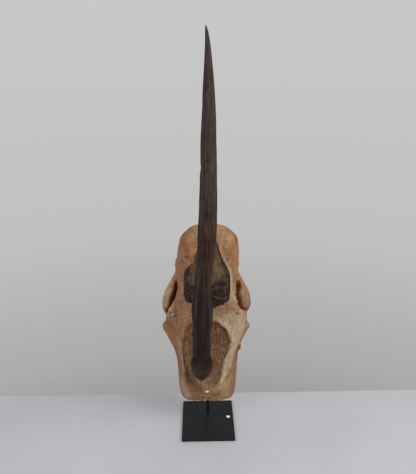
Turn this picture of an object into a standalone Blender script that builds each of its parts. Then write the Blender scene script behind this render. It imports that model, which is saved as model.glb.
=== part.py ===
"""Woolly rhinoceros skull with both of its horns, standing nose down on a steel rod and plate.

Metres, +Z up. The skull stands upright: its nose is low, its occiput is high, its forehead and
horns face -Y and its teeth face +Y. X is left and right, and X = 0 is the skull's own middle.
The origin is the centre of the base plate's underside.
"""

import math

import bmesh
import bpy
from mathutils import Euler, Matrix, Vector

GAP = 0.0004  # between two pieces that touch

# The stand
PLATE_SIDE = 0.220
PLATE_THICKNESS = 0.010
PLATE_EDGE = 0.0012
ROD_DIAMETER = 0.013
ROD_Y = 0.038
ROD_TOP = 0.500
ROD_SIDES = 24
LABEL_SIZE = (0.014, 0.011, 0.0008)
LABEL_AT = (0.088, 0.012)

# The skull, from the tip of the nose to the top of the occiput
NOSE_Z = 0.170
BORE_CLEARANCE = 0.0004

# How finely the skull's forms are fused, and how many faces are kept
FUSE_VOXEL = 0.0065
SKULL_FACES = 5200

# Cross-sections of the braincase, face and nose, from the nose up:
# height above the nose's tip, half width, forehead side, palate side, depth of the widest line, squareness
VAULT = (
    (-0.001, 0.101, -0.050, -0.012, -0.028, 2.6),
    (0.005, 0.108, -0.068, 0.006, -0.030, 2.6),
    (0.018, 0.107, -0.080, 0.014, -0.034, 2.5),
    (0.045, 0.112, -0.093, 0.020, -0.042, 2.5),
    (0.090, 0.115, -0.105, 0.020, -0.046, 2.4),
    (0.140, 0.1155, -0.114, 0.018, -0.048, 2.3),
    (0.190, 0.117, -0.120, 0.018, -0.050, 2.2),
    (0.240, 0.1215, -0.123, 0.024, -0.050, 2.2),
    (0.280, 0.132, -0.122, 0.036, -0.048, 2.2),
    (0.320, 0.150, -0.118, 0.044, -0.046, 2.2),
    (0.352, 0.163, -0.114, 0.048, -0.044, 2.2),
    (0.366, 0.163, -0.112, 0.050, -0.046, 2.3),
    (0.385, 0.153, -0.111, 0.052, -0.056, 2.4),
    (0.412, 0.150, -0.111, 0.055, -0.068, 2.5),
    (0.440, 0.144, -0.112, 0.058, -0.074, 2.5),
    (0.465, 0.133, -0.114, 0.060, -0.072, 2.5),
    (0.490, 0.119, -0.115, 0.062, -0.066, 2.5),
    (0.515, 0.110, -0.115, 0.062, -0.060, 2.5),
    (0.550, 0.108, -0.112, 0.064, -0.045, 2.4),
    (0.600, 0.112, -0.105, 0.066, -0.020, 2.3),
    (0.640, 0.111, -0.099, 0.068, -0.016, 2.3),
    (0.680, 0.106, -0.096, 0.062, -0.028, 2.3),
    (0.712, 0.1000, -0.096, 0.036, -0.042, 2.4),
    (0.731, 0.088, -0.096, 0.002, -0.052, 2.3),
    (0.749, 0.074, -0.092, -0.024, -0.060, 2.2),
    (0.764, 0.059, -0.086, -0.044, -0.064, 2.0),
    (0.771, 0.041, -0.078, -0.056, -0.066, 2.0),
)
VAULT_POINTS = 32
RINGS_BETWEEN = 3

# How far the whole skull strays sideways at a height above the nose's tip
LEAN = (
    (0.000, -0.003),
    (0.190, -0.0035),
    (0.250, -0.0060),
    (0.310, -0.0087),
    (0.380, -0.0080),
    (0.450, -0.0055),
    (0.540, -0.0048),
    (0.610, -0.0020),
    (0.690, 0.0024),
    (0.770, 0.0005),
)

# Zygomatic arch: x, y, z above the nose, half thickness in x, half height in y.
# Its forehead edge is outermost, and its lower edge lies ARCH_SLANT metres a metre further in.
ARCH = (
    (0.098, 0.012, 0.300, 0.018, 0.034),
    (0.136, 0.016, 0.345, 0.016, 0.034),
    (0.1575, 0.018, 0.385, 0.0130, 0.032),
    (0.1625, 0.008, 0.430, 0.0125, 0.040),
    (0.1565, 0.010, 0.468, 0.0120, 0.044),
    (0.1395, 0.014, 0.508, 0.0120, 0.044),
    (0.1170, 0.018, 0.548, 0.0140, 0.042),
    (0.093, 0.020, 0.600, 0.0160, 0.036),
)
ARCH_SLANT = 0.32
ARCH_EDGE_Y = -0.034

# Cheek teeth from the front: name, length along the jaw, width, distance of its middle from X = 0
TEETH = (
    ("P2", 0.028, 0.030, 0.060),
    ("P3", 0.034, 0.040, 0.064),
    ("P4", 0.038, 0.047, 0.068),
    ("M1", 0.045, 0.051, 0.071),
    ("M2", 0.050, 0.054, 0.073),
    ("M3", 0.047, 0.050, 0.073),
)
TOOTH_ROW_START = 0.205
TOOTH_SPACE = 0.0018
ALVEOLAR_Y = 0.110
CROWN_HEIGHT = 0.024
ROOT_DEPTH = 0.016

# Front horn. Its front edge is one arc in the side view.
HORN_FOOT_Y = -0.115
HORN_FOOT_Z = 0.325
HORN_TIP_Z = 1.536
HORN_START_ANGLE = math.radians(50)
HORN_END_ANGLE = math.radians(96)
HORN_CURVATURE = (math.cos(HORN_START_ANGLE) - math.cos(HORN_END_ANGLE)) / (HORN_TIP_Z - HORN_FOOT_Z)
HORN_TURN_IN = 0.45  # length over which its sections turn from lying on the bone to lying square to the edge
# distance along the front edge, thickness, depth from front edge to back edge, middle's x,
# squareness in front, and how much of the thickness is left behind the swollen foot
HORN = (
    (0.000, 0.0790, 0.270, -0.0270, 2.6, 0.82),
    (0.060, 0.0815, 0.235, -0.0264, 3.6, 0.77),
    (0.120, 0.0820, 0.207, -0.0262, 4.8, 0.75),
    (0.170, 0.0820, 0.185, -0.0266, 5.0, 0.73),
    (0.220, 0.0760, 0.170, -0.0268, 5.0, 0.76),
    (0.260, 0.0620, 0.161, -0.0268, 4.2, 0.91),
    (0.310, 0.0575, 0.153, -0.0266, 3.6, 1.00),
    (0.370, 0.0568, 0.146, -0.0262, 3.0, 1.00),
    (0.420, 0.0595, 0.143, -0.0243, 2.9, 1.00),
    (0.470, 0.0636, 0.140, -0.0238, 2.8, 1.00),
    (0.520, 0.0590, 0.137, -0.0231, 2.7, 1.00),
    (0.560, 0.0540, 0.134, -0.0230, 2.6, 1.00),
    (0.620, 0.0475, 0.128, -0.0220, 2.5, 1.00),
    (0.680, 0.0440, 0.122, -0.0182, 2.5, 1.00),
    (0.740, 0.0432, 0.112, -0.0156, 2.4, 1.00),
    (0.800, 0.0462, 0.103, -0.0127, 2.4, 1.00),
    (0.860, 0.0446, 0.093, -0.0105, 2.3, 1.00),
    (0.920, 0.0410, 0.084, -0.0100, 2.3, 1.00),
    (1.000, 0.0364, 0.070, -0.0098, 2.2, 1.00),
    (1.050, 0.0342, 0.063, -0.0097, 2.2, 1.00),
    (1.100, 0.0314, 0.054, -0.0094, 2.1, 1.00),
    (1.140, 0.0274, 0.047, -0.0093, 2.1, 1.00),
    (1.180, 0.0237, 0.038, -0.0095, 2.1, 1.00),
    (1.210, 0.0203, 0.033, -0.0095, 2.1, 1.00),
    (1.240, 0.0157, 0.025, -0.0100, 2.0, 1.00),
    (1.265, 0.0112, 0.018, -0.0110, 2.0, 1.00),
    (1.288, 0.0065, 0.011, -0.0130, 2.0, 1.00),
)
HORN_FOOT_SWELL = 0.034  # how far behind the front edge the foot's swelling reaches at the lowest section
HORN_SWELL_FALL = 0.10  # how much less of that each metre up the horn
HORN_SWELL_FADE = 0.020  # over which it narrows to what is left
HORN_TIP_X = -0.015
HORN_ROOT_Y = -0.088  # how deep the horn's foot is started inside the bone, before the bone is cut away
HORN_POINTS = 24

# Rear horn: lower edge y, z and upper edge y, z of each section, with its half width and its middle's x
REAR_HORN = (
    (-0.088, 0.649, -0.088, 0.842, 0.076, -0.0075),
    (-0.134, 0.652, -0.116, 0.852, 0.078, -0.0075),
    (-0.159, 0.674, -0.130, 0.862, 0.076, -0.0070),
    (-0.173, 0.717, -0.140, 0.874, 0.063, -0.0050),
    (-0.183, 0.775, -0.150, 0.890, 0.051, -0.0035),
    (-0.190, 0.835, -0.160, 0.909, 0.040, -0.0020),
    (-0.195, 0.888, -0.170, 0.931, 0.029, -0.0010),
    (-0.198, 0.932, -0.180, 0.955, 0.018, -0.0010),
)
REAR_HORN_TIP = (-0.001, -0.193, 0.972)
REAR_HORN_POINTS = 28


def start_clean():
    """Remove every object of the opened scene."""
    for old in list(bpy.data.objects):
        bpy.data.objects.remove(old)


def make_material(name, color, roughness, metallic=0.0):
    """A Principled material with one colour."""
    material = bpy.data.materials.new(name)
    material.use_nodes = True
    shader = material.node_tree.nodes["Principled BSDF"]
    shader.inputs["Base Color"].default_value = (*color, 1.0)
    shader.inputs["Roughness"].default_value = roughness
    shader.inputs["Metallic"].default_value = metallic
    material.diffuse_color = (*color, 1.0)
    return material


def add_object(name, mesh_source, material=None):
    """Turn a finished bmesh into an object in the scene."""
    bmesh.ops.recalc_face_normals(mesh_source, faces=mesh_source.faces)
    mesh = bpy.data.meshes.new(name)
    mesh_source.to_mesh(mesh)
    mesh_source.free()
    made = bpy.data.objects.new(name, mesh)
    bpy.context.scene.collection.objects.link(made)
    if material:
        mesh.materials.append(material)
    return made


def hide_helper(helper):
    """A cutter or guide isn't part of the object."""
    helper.hide_render = True
    helper.display_type = "WIRE"
    return helper


def between(before, start, end, after, share):
    """A smooth curve's value between start and end, which also heeds the values on either side."""
    return 0.5 * (
        2 * start
        + (end - before) * share
        + (2 * before - 5 * start + 4 * end - after) * share**2
        + (3 * start - before - 3 * end + after) * share**3
    )


def smooth_rows(rows, steps):
    """Rows of numbers with steps rows for each one given, all on smooth curves."""
    smooth = []
    last = len(rows) - 1
    for index in range(last):
        nearby = [rows[max(index - 1, 0)], rows[index], rows[index + 1], rows[min(index + 2, last)]]
        for step in range(steps):
            smooth.append(tuple(between(*values, step / steps) for values in zip(*nearby)))
    smooth.append(tuple(rows[last]))
    return smooth


def lean(above_nose):
    """How far the skull strays sideways at a height above its nose's tip."""
    for (low, start), (high, end) in zip(LEAN, LEAN[1:]):
        if above_nose <= high:
            return start + (end - start) * (above_nose - low) / (high - low)
    return LEAN[-1][1]


def lean_over(mesh):
    """Move what was modelled symmetrically to where the skull strays. Returns the same mesh."""
    for vert in mesh.verts:
        vert.co.x += lean(vert.co.z - NOSE_Z)
    return mesh


def rounded(angle, squareness):
    """A point of a unit superellipse: 2 is a circle, and more is squarer."""
    across, along = math.cos(angle), math.sin(angle)
    power = 2 / squareness
    return math.copysign(abs(across) ** power, across), math.copysign(abs(along) ** power, along)


def skin_rings(mesh, rings):
    """Join closed rings of points into one closed skin, with its two ends filled."""
    made = [[mesh.verts.new(point) for point in ring] for ring in rings]
    for low, high in zip(made, made[1:]):
        for k in range(len(low)):
            following = (k + 1) % len(low)
            mesh.faces.new((low[k], low[following], high[following], high[k]))
    mesh.faces.new(reversed(made[0]))
    mesh.faces.new(made[-1])


def mirrored(rings, side):
    """The same rings on the side given, +1 or -1."""
    return [[(side * x, y, z) for x, y, z in ring] for ring in rings]


def vault_rings():
    """Braincase, face and nose in one row of cross-sections."""
    rings = []
    for height, half_width, front, back, widest, squareness in smooth_rows(VAULT, RINGS_BETWEEN):
        ring = []
        for k in range(VAULT_POINTS):
            across, along = rounded(math.tau * k / VAULT_POINTS, squareness)
            reach = widest - front if along > 0 else back - widest
            ring.append((half_width * across, widest - along * reach, NOSE_Z + height))
        rings.append(ring)
    return rings


def bar_rings(path, points=14, steps=2, squareness=2.2):
    """A bent bar of oval section along x, y, height, half thickness in x and half height in y."""
    rings = []
    rows = smooth_rows(path, steps)
    for index, (x, y, height, thick, tall) in enumerate(rows):
        before, after = rows[max(index - 1, 0)], rows[min(index + 1, len(rows) - 1)]
        heading = Vector(tuple(a - b for a, b in zip(after[:3], before[:3]))).normalized()
        sideways = Vector((0, 1, 0)).cross(heading).normalized()
        upright = heading.cross(sideways)
        centre = Vector((x, y, NOSE_Z + height))
        ring = []
        for k in range(points):
            across, along = rounded(math.tau * k / points, squareness)
            ring.append(tuple(centre + sideways * (across * thick) + upright * (along * tall)))
        rings.append(ring)
    return rings


def add_ball(mesh, centre, radii, tilt=(0.0, 0.0, 0.0), segments=20):
    """An ellipsoid, turned by tilt in degrees about X, Y and Z."""
    place = Matrix.Translation(centre) @ Euler([math.radians(a) for a in tilt]).to_matrix().to_4x4()
    bmesh.ops.create_uvsphere(
        mesh,
        u_segments=segments,
        v_segments=segments // 2 + 2,
        radius=1.0,
        matrix=place @ Matrix.Diagonal((*radii, 1.0)),
    )


def height(above_nose):
    """World height of a level measured from the nose's tip."""
    return NOSE_Z + above_nose


def skull_forms():
    """All the bones' main forms, overlapping, before they are fused."""
    mesh = bmesh.new()
    skin_rings(mesh, vault_rings())
    # septum and premaxilla close the nose below the nostrils
    skin_rings(mesh, bar_rings(((0, 0.004, 0.008, 0.034, 0.020), (0, 0.002, 0.060, 0.036, 0.022),
                                (0, 0.004, 0.130, 0.042, 0.024), (0, 0.034, 0.205, 0.054, 0.034))))
    # palate and the block of bone that carries it
    skin_rings(mesh, bar_rings(((0, 0.030, 0.150, 0.040, 0.026), (0, 0.040, 0.220, 0.066, 0.040),
                                (0, 0.046, 0.300, 0.080, 0.046), (0, 0.046, 0.400, 0.084, 0.044),
                                (0, 0.044, 0.480, 0.076, 0.040), (0, 0.046, 0.540, 0.050, 0.030))))
    # basicranium
    skin_rings(mesh, bar_rings(((0, 0.050, 0.500, 0.034, 0.024), (0, 0.058, 0.580, 0.036, 0.024),
                                (0, 0.062, 0.656, 0.044, 0.026), (0, 0.054, 0.690, 0.040, 0.022))))
    for side in (1, -1):
        # alveolar ridge, which the teeth stand in
        ridge = ((0.050, 0.050, 0.175, 0.014, 0.030), (0.060, 0.068, 0.205, 0.021, 0.042),
                 (0.068, 0.072, 0.300, 0.031, 0.043), (0.072, 0.072, 0.380, 0.034, 0.043),
                 (0.073, 0.072, 0.455, 0.033, 0.043), (0.066, 0.060, 0.490, 0.022, 0.034))
        skin_rings(mesh, mirrored(bar_rings(ridge, squareness=3.6), side))
        # pterygoid plate
        plate = ((0.044, 0.070, 0.440, 0.008, 0.022), (0.036, 0.084, 0.490, 0.008, 0.026),
                 (0.032, 0.078, 0.530, 0.008, 0.026), (0.030, 0.064, 0.570, 0.008, 0.022))
        skin_rings(mesh, mirrored(bar_rings(plate), side))
        # squamosal, with the jaw's hinge face, and the processes behind it
        add_ball(mesh, (side * 0.084, 0.022, height(0.580)), (0.038, 0.036, 0.042))
        add_ball(mesh, (side * 0.088, 0.056, height(0.574)), (0.036, 0.016, 0.022))
        add_ball(mesh, (side * 0.072, 0.068, height(0.606)), (0.023, 0.048, 0.021), (-8, 0, 0))
        add_ball(mesh, (side * 0.080, 0.040, height(0.652)), (0.028, 0.050, 0.028))
        add_ball(mesh, (side * 0.069, 0.070, height(0.668)), (0.020, 0.048, 0.019), (6, 0, 0))
        # occipital condyle
        add_ball(mesh, (side * 0.034, 0.066, height(0.684)), (0.024, 0.034, 0.027), (25, 0, side * 14))
        # parietal ridge at the edge of the skull's roof
        ridge = ((0.075, -0.094, 0.500, 0.012, 0.010), (0.052, -0.098, 0.570, 0.010, 0.008),
                 (0.048, -0.092, 0.630, 0.010, 0.008), (0.062, -0.088, 0.690, 0.012, 0.010),
                 (0.078, -0.078, 0.726, 0.012, 0.012))
        skin_rings(mesh, mirrored(bar_rings(ridge, points=10), side))
        # lateral ridge of the nasal bone
        ridge = ((0.074, -0.086, 0.050, 0.010, 0.008), (0.080, -0.096, 0.110, 0.011, 0.009),
                 (0.082, -0.104, 0.180, 0.012, 0.010), (0.088, -0.104, 0.240, 0.012, 0.010),
                 (0.096, -0.098, 0.290, 0.011, 0.009))
        skin_rings(mesh, mirrored(bar_rings(ridge, points=10), side))
        # corner in front of the eye, and the process behind it
        add_ball(mesh, (side * 0.150, -0.046, height(0.350)), (0.018, 0.020, 0.014), (0, side * 30, 0))
        add_ball(mesh, (side * 0.134, -0.072, height(0.414)), (0.020, 0.014, 0.014), (0, side * 25, 0))
    return lean_over(mesh)


def skull_hollows():
    """What is taken out of the fused bone before the arches are added."""
    mesh = bmesh.new()
    for side in (1, -1):
        # nostril, open at the side, with the bony septum left between the two
        add_ball(mesh, (side * 0.092, -0.008, height(0.152)), (0.082, 0.036, 0.102), (-6, 0, side * -6))
        # temporal fossa, right through beside the braincase
        add_ball(mesh, (side * 0.134, 0.026, height(0.478)), (0.060, 0.116, 0.088), (0, side * 8, 0))
        # eye socket, which is open to the temporal fossa behind it
        add_ball(mesh, (side * 0.144, -0.024, height(0.394)), (0.036, 0.036, 0.034), (0, side * 12, 0))
    # vault of the palate and the hole where the nose opens behind it
    add_ball(mesh, (0, 0.118, height(0.300)), (0.040, 0.046, 0.220))
    add_ball(mesh, (0, 0.092, height(0.470)), (0.026, 0.036, 0.070))
    # foramen magnum
    add_ball(mesh, (0, 0.036, height(0.730)), (0.024, 0.022, 0.070), (-28, 0, 0))
    # hollow of the nape, under the occipital crest
    add_ball(mesh, (0, 0.004, height(0.790)), (0.050, 0.040, 0.052), (-20, 0, 0))
    return lean_over(mesh)


def late_hollows():
    """What is taken out after the arches are on."""
    mesh = bmesh.new()
    for side in (1, -1):
        # ear hole
        add_ball(mesh, (side * 0.118, 0.034, height(0.622)), (0.026, 0.010, 0.010))
        # infraorbital foramen
        add_ball(mesh, (side * 0.112, -0.004, height(0.262)), (0.026, 0.009, 0.014), (0, side * 30, 0))
    return lean_over(mesh)


def add_modifier(target, kind, **settings):
    """Add a modifier with its settings."""
    modifier = target.modifiers.new(kind.title(), kind)
    for setting, value in settings.items():
        setattr(modifier, setting, value)
    return modifier


def freeze(target):
    """Replace an object's mesh by what its modifiers make of it."""
    evaluated = target.evaluated_get(bpy.context.evaluated_depsgraph_get())
    finished = bpy.data.meshes.new_from_object(evaluated)
    target.modifiers.clear()
    target.data = finished
    return target


def cut(target, cutter, operation="DIFFERENCE", crossing=False):
    """Boolean with a helper that stays hidden. With crossing, the helper's forms may cross each other."""
    add_modifier(target, "BOOLEAN", object=hide_helper(cutter), operation=operation, use_self=crossing)


def fuse(target, voxel, passes):
    """Melt overlapping forms into one skin and round their joins."""
    add_modifier(target, "REMESH", mode="VOXEL", voxel_size=voxel)
    add_modifier(target, "SMOOTH", factor=0.5, iterations=passes)


def tooth_spans():
    """Name, middle x, lower and upper height and width of every cheek tooth."""
    spans = []
    low = height(TOOTH_ROW_START)
    for name, length, width, middle in TEETH:
        for side, word in ((1, "left"), (-1, "right")):
            middle_x = side * middle + lean(low + length / 2 - NOSE_Z)
            spans.append((f"tooth_{word}_{name}", middle_x, low, low + length, width))
        low += length + TOOTH_SPACE
    return spans


def add_tooth_block(mesh, middle_x, low, high, width, grow=0.0):
    """Root and crown of a tooth in one block, or with grow the socket that holds it."""
    for vert in bmesh.ops.create_cube(mesh, size=1.0)["verts"]:
        root = vert.co.y < 0
        taper = 0.86 if root else 1.0
        vert.co = (
            middle_x + vert.co.x * (width * taper + 2 * grow),
            ALVEOLAR_Y - ROOT_DEPTH - grow if root else ALVEOLAR_Y + CROWN_HEIGHT,
            (low + high) / 2 + vert.co.z * ((high - low) * taper + 2 * grow),
        )


def make_tooth(name, middle_x, low, high, width, material):
    """A cheek tooth: an enamel rim round a worn basin."""
    mesh = bmesh.new()
    add_tooth_block(mesh, middle_x, low, high, width)
    uprights = [e for e in mesh.edges if abs(e.verts[0].co.y - e.verts[1].co.y) > ROOT_DEPTH]
    bmesh.ops.bevel(mesh, geom=uprights, offset=0.007, segments=2, profile=0.5, affect="EDGES")
    biting = max(mesh.faces, key=lambda face: face.calc_center_median().y)
    bmesh.ops.inset_region(mesh, faces=[biting], thickness=0.0035)
    bmesh.ops.inset_region(mesh, faces=[biting], thickness=0.002, depth=-0.003)
    return add_object(name, mesh, material)


def make_skull(material):
    """The skull's bones as the one piece that they are."""
    skull = add_object("skull", skull_forms(), material)
    fuse(skull, FUSE_VOXEL, 2)
    cut(skull, add_object("hollows", skull_hollows()), crossing=True)
    arches = bmesh.new()
    for side in (1, -1):
        skin_rings(arches, mirrored(bar_rings(ARCH, points=16, squareness=3), side))
    for vert in arches.verts:
        vert.co.x -= math.copysign(ARCH_SLANT * (vert.co.y - ARCH_EDGE_Y), vert.co.x)
    for side in (1, -1):
        # swelling of the upper jaw behind the last molar, which is the floor of the temporal fossa
        add_ball(arches, (side * 0.110, 0.046, height(0.428)), (0.036, 0.026, 0.054))
    cut(skull, add_object("arches", lean_over(arches)), "UNION", crossing=True)
    cut(skull, add_object("late_hollows", late_hollows()), crossing=True)
    fuse(skull, FUSE_VOXEL, 5)
    freeze(skull)
    triangles = sum(len(p.vertices) - 2 for p in skull.data.polygons)
    add_modifier(skull, "DECIMATE", ratio=SKULL_FACES / triangles)
    freeze(skull)
    skull.data.materials.clear()
    skull.data.materials.append(material)
    return skull


def cut_sockets(skull):
    """Sockets for the teeth's roots and the blind bore that the rod stands in."""
    mesh = bmesh.new()
    for _, middle_x, low, high, width in tooth_spans():
        add_tooth_block(mesh, middle_x, low, high, width, BORE_CLEARANCE)
    cut(skull, add_object("sockets", mesh))
    bore = bmesh.new()
    low, high = height(0.03), ROD_TOP + BORE_CLEARANCE
    bmesh.ops.create_cone(bore, cap_ends=True, segments=ROD_SIDES, radius1=ROD_DIAMETER / 2 + BORE_CLEARANCE,
                          radius2=ROD_DIAMETER / 2 + BORE_CLEARANCE, depth=high - low)
    bmesh.ops.translate(bore, verts=bore.verts, vec=(0, ROD_Y, (low + high) / 2))
    cut(skull, add_object("rod_bore", bore))
    freeze(skull)


def bone_skin(skull):
    """The skull's surface moved out by the gap, to cut the feet of the horns with."""
    skin = bpy.data.objects.new("bone_skin", skull.data.copy())
    bpy.context.scene.collection.objects.link(skin)
    add_modifier(skin, "DISPLACE", strength=GAP, mid_level=0.0, direction="NORMAL")
    return skin


def horn_ring(middle_x, lower, upper, half_width, points, lower_squareness, upper_squareness=2.1):
    """A section of a horn between its lower and upper edge, each given as y and z."""
    centre = ((lower[0] + upper[0]) / 2, (lower[1] + upper[1]) / 2)
    half = ((upper[0] - lower[0]) / 2, (upper[1] - lower[1]) / 2)
    ring = []
    for k in range(points):
        angle = math.tau * k / points
        across, along = rounded(angle, lower_squareness if math.sin(angle) < 0 else upper_squareness)
        ring.append((middle_x + half_width * across, centre[0] + half[0] * along, centre[1] + half[1] * along))
    return ring


def smoothstep(share):
    """0 to 1 with soft ends."""
    share = min(max(share, 0.0), 1.0)
    return share * share * (3 - 2 * share)


def make_front_horn(material, bone):
    """The long nose horn: a blade that is narrow from the front and deep from the side."""
    rings = []
    for distance, thickness, depth, middle_x, squareness, behind in HORN:
        angle = HORN_START_ANGLE + HORN_CURVATURE * distance
        y = HORN_FOOT_Y - (math.sin(angle) - math.sin(HORN_START_ANGLE)) / HORN_CURVATURE
        z = HORN_FOOT_Z + (math.cos(HORN_START_ANGLE) - math.cos(angle)) / HORN_CURVATURE
        tilt = angle * smoothstep(distance / HORN_TURN_IN)
        back = (y + depth * math.sin(tilt), z + depth * math.cos(tilt))
        ring = horn_ring(middle_x, (y, z), back, thickness / 2, HORN_POINTS, squareness)
        swell = HORN_FOOT_SWELL - HORN_SWELL_FALL * distance
        for k, (point_x, point_y, point_z) in enumerate(ring):
            fade = smoothstep((math.hypot(point_y - y, point_z - z) - swell) / HORN_SWELL_FADE)
            ring[k] = (middle_x + (point_x - middle_x) * (1 - (1 - behind) * fade), point_y, point_z)
        rings.append(ring)
    foot = [(x, HORN_ROOT_Y, z) for x, y, z in rings[0]]
    end_angle = HORN_END_ANGLE
    tip_y = HORN_FOOT_Y - (math.sin(end_angle) - math.sin(HORN_START_ANGLE)) / HORN_CURVATURE
    tip = horn_ring(HORN_TIP_X, (tip_y, HORN_TIP_Z - 0.001), (tip_y + 0.003, HORN_TIP_Z), 0.0015, HORN_POINTS, 2)
    mesh = bmesh.new()
    skin_rings(mesh, [foot, *rings, tip])
    horn = add_object("front_horn", mesh, material)
    cut(horn, bone)
    return horn


def make_rear_horn(material, bone):
    """The short forehead horn, which leans back over the skull."""
    rings = []
    for lower_y, lower_z, upper_y, upper_z, half_width, middle_x in smooth_rows(REAR_HORN, 2):
        squareness = 3.2 if lower_z < 0.70 else 2.4
        rings.append(horn_ring(middle_x, (lower_y, lower_z), (upper_y, upper_z), half_width,
                               REAR_HORN_POINTS, squareness))
    x, y, z = REAR_HORN_TIP
    rings.append(horn_ring(x, (y, z - 0.002), (y + 0.003, z), 0.0015, REAR_HORN_POINTS, 2))
    mesh = bmesh.new()
    skin_rings(mesh, rings)
    horn = add_object("rear_horn", mesh, material)
    cut(horn, bone)
    return horn


def make_stand(steel, card):
    """Square base plate, the rod that carries the skull and a small bare label."""
    mesh = bmesh.new()
    bmesh.ops.create_cube(mesh, size=1.0)
    for vert in mesh.verts:
        vert.co = (vert.co.x * PLATE_SIDE, vert.co.y * PLATE_SIDE, (vert.co.z + 0.5) * PLATE_THICKNESS)
    upper = [e for e in mesh.edges if min(v.co.z for v in e.verts) > 0 or abs(e.verts[0].co.z - e.verts[1].co.z) > 0]
    bmesh.ops.bevel(mesh, geom=upper, offset=PLATE_EDGE, segments=2, profile=0.5, affect="EDGES")
    add_object("base_plate", mesh, steel)

    mesh = bmesh.new()
    low = PLATE_THICKNESS + GAP
    bmesh.ops.create_cone(mesh, cap_ends=True, segments=ROD_SIDES, radius1=ROD_DIAMETER / 2,
                          radius2=ROD_DIAMETER / 2, depth=ROD_TOP - low)
    bmesh.ops.translate(mesh, verts=mesh.verts, vec=(0, ROD_Y, (low + ROD_TOP) / 2))
    rod = add_object("rod", mesh, steel)
    rod.data.shade_smooth()
    rod.data.set_sharp_from_angle(angle=math.radians(40))

    mesh = bmesh.new()
    bmesh.ops.create_cube(mesh, size=1.0)
    for vert in mesh.verts:
        vert.co = (LABEL_AT[0] + vert.co.x * LABEL_SIZE[0], LABEL_AT[1] + vert.co.y * LABEL_SIZE[1],
                   PLATE_THICKNESS + GAP + (vert.co.z + 0.5) * LABEL_SIZE[2])
    add_object("label", mesh, card)


def build():
    """Make every piece."""
    start_clean()
    bone = make_material("dry bone", (0.50, 0.32, 0.18), 0.75)
    enamel = make_material("tooth enamel", (0.42, 0.30, 0.19), 0.35)
    dark_horn = make_material("dark horn", (0.035, 0.024, 0.018), 0.55)
    steel = make_material("black painted steel", (0.012, 0.012, 0.013), 0.45)
    card = make_material("white card", (0.75, 0.75, 0.75), 0.8)
    make_stand(steel, card)
    skull = make_skull(bone)
    cut_sockets(skull)
    for name, middle_x, low, high, width in tooth_spans():
        make_tooth(name, middle_x, low, high, width, enamel)
    skin = bone_skin(skull)
    for horn in (make_front_horn(dark_horn, skin), make_rear_horn(dark_horn, skin)):
        freeze(horn)
        horn.data.materials.clear()
        horn.data.materials.append(dark_horn)
        horn.data.shade_smooth()
    skull.data.shade_smooth()


build()
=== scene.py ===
# %% [markdown]
# # A woolly rhinoceros skull on its stand
#
# The object is a fossil skull with both of its horns. It stands nose down on a thin steel rod, so
# the forehead and the horns face the viewer and the teeth face away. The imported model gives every
# piece its place and size. Here the bone gets its pores, ridges and stains, the horns get their
# fibres, the teeth their worn enamel and the stand its paint.
#
# Everything is in metres. X runs to the viewer's right, Y away from the viewer and Z up.

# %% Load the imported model
import math

import bmesh
import bpy
import numpy as np
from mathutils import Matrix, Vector, noise
from mathutils.bvhtree import BVHTree


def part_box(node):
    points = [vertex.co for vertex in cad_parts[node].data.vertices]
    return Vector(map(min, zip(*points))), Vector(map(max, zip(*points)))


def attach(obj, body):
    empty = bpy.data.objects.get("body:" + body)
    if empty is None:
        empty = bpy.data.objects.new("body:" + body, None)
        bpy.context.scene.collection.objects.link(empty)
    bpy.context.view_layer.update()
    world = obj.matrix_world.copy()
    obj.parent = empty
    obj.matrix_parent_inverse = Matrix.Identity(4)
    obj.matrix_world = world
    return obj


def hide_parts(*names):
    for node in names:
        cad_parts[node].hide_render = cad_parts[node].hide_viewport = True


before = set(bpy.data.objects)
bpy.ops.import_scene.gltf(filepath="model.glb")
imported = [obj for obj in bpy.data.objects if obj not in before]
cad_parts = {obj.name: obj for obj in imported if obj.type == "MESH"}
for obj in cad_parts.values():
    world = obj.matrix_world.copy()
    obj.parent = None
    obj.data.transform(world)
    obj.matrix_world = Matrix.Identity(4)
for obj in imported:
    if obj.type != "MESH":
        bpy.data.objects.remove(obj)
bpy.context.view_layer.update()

# %% [markdown]
# ## Helpers for working as by hand
#
# Blender's operators act on whatever is selected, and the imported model's pieces come in selected.
# So each step first picks the one piece it works on. A modifier is added and applied at once,
# which is what pressing Apply does.


# %% Pick a piece, apply a modifier to it, copy and count it
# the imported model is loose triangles, and corners closer than this are one corner
MERGE_DISTANCE = 0.00002


def pick(piece):
    """Select this piece alone and make it active."""
    if bpy.context.object and bpy.context.object.mode != "OBJECT":
        bpy.ops.object.mode_set(mode="OBJECT")
    bpy.ops.object.select_all(action="DESELECT")
    piece.select_set(True)
    bpy.context.view_layer.objects.active = piece


def apply_modifier(piece, kind, **settings):
    """Add a modifier of this kind, set it and apply it."""
    pick(piece)
    bpy.ops.object.modifier_add(type=kind)
    modifier = piece.modifiers[-1]
    for name, value in settings.items():
        setattr(modifier, name, value)
    bpy.ops.object.modifier_apply(modifier=modifier.name)


def copy_of(node, name):
    """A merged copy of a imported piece's mesh as a new piece to work on."""
    piece = bpy.data.objects.new(name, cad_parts[node].data.copy())
    bpy.context.scene.collection.objects.link(piece)
    piece.data.materials.clear()
    pick(piece)
    bpy.ops.object.mode_set(mode="EDIT")
    bpy.ops.mesh.select_all(action="SELECT")
    bpy.ops.mesh.remove_doubles(threshold=MERGE_DISTANCE)
    bpy.ops.object.mode_set(mode="OBJECT")
    return piece


def report(piece):
    """Print how many triangles a piece has."""
    triangles = sum(len(face.vertices) - 2 for face in piece.data.polygons)
    print(f"{piece.name}: {triangles} triangles")


print("pieces of the packed model:", ", ".join(sorted(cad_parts)))

# %% [markdown]
# ## The camera
#
# The photo was taken with a camera about 1.5 m up, tilted 23 degrees down. Its place follows from
# the square base plate: its front and back edges give the distance, and the row where level lines
# would meet gives the tilt.

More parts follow.
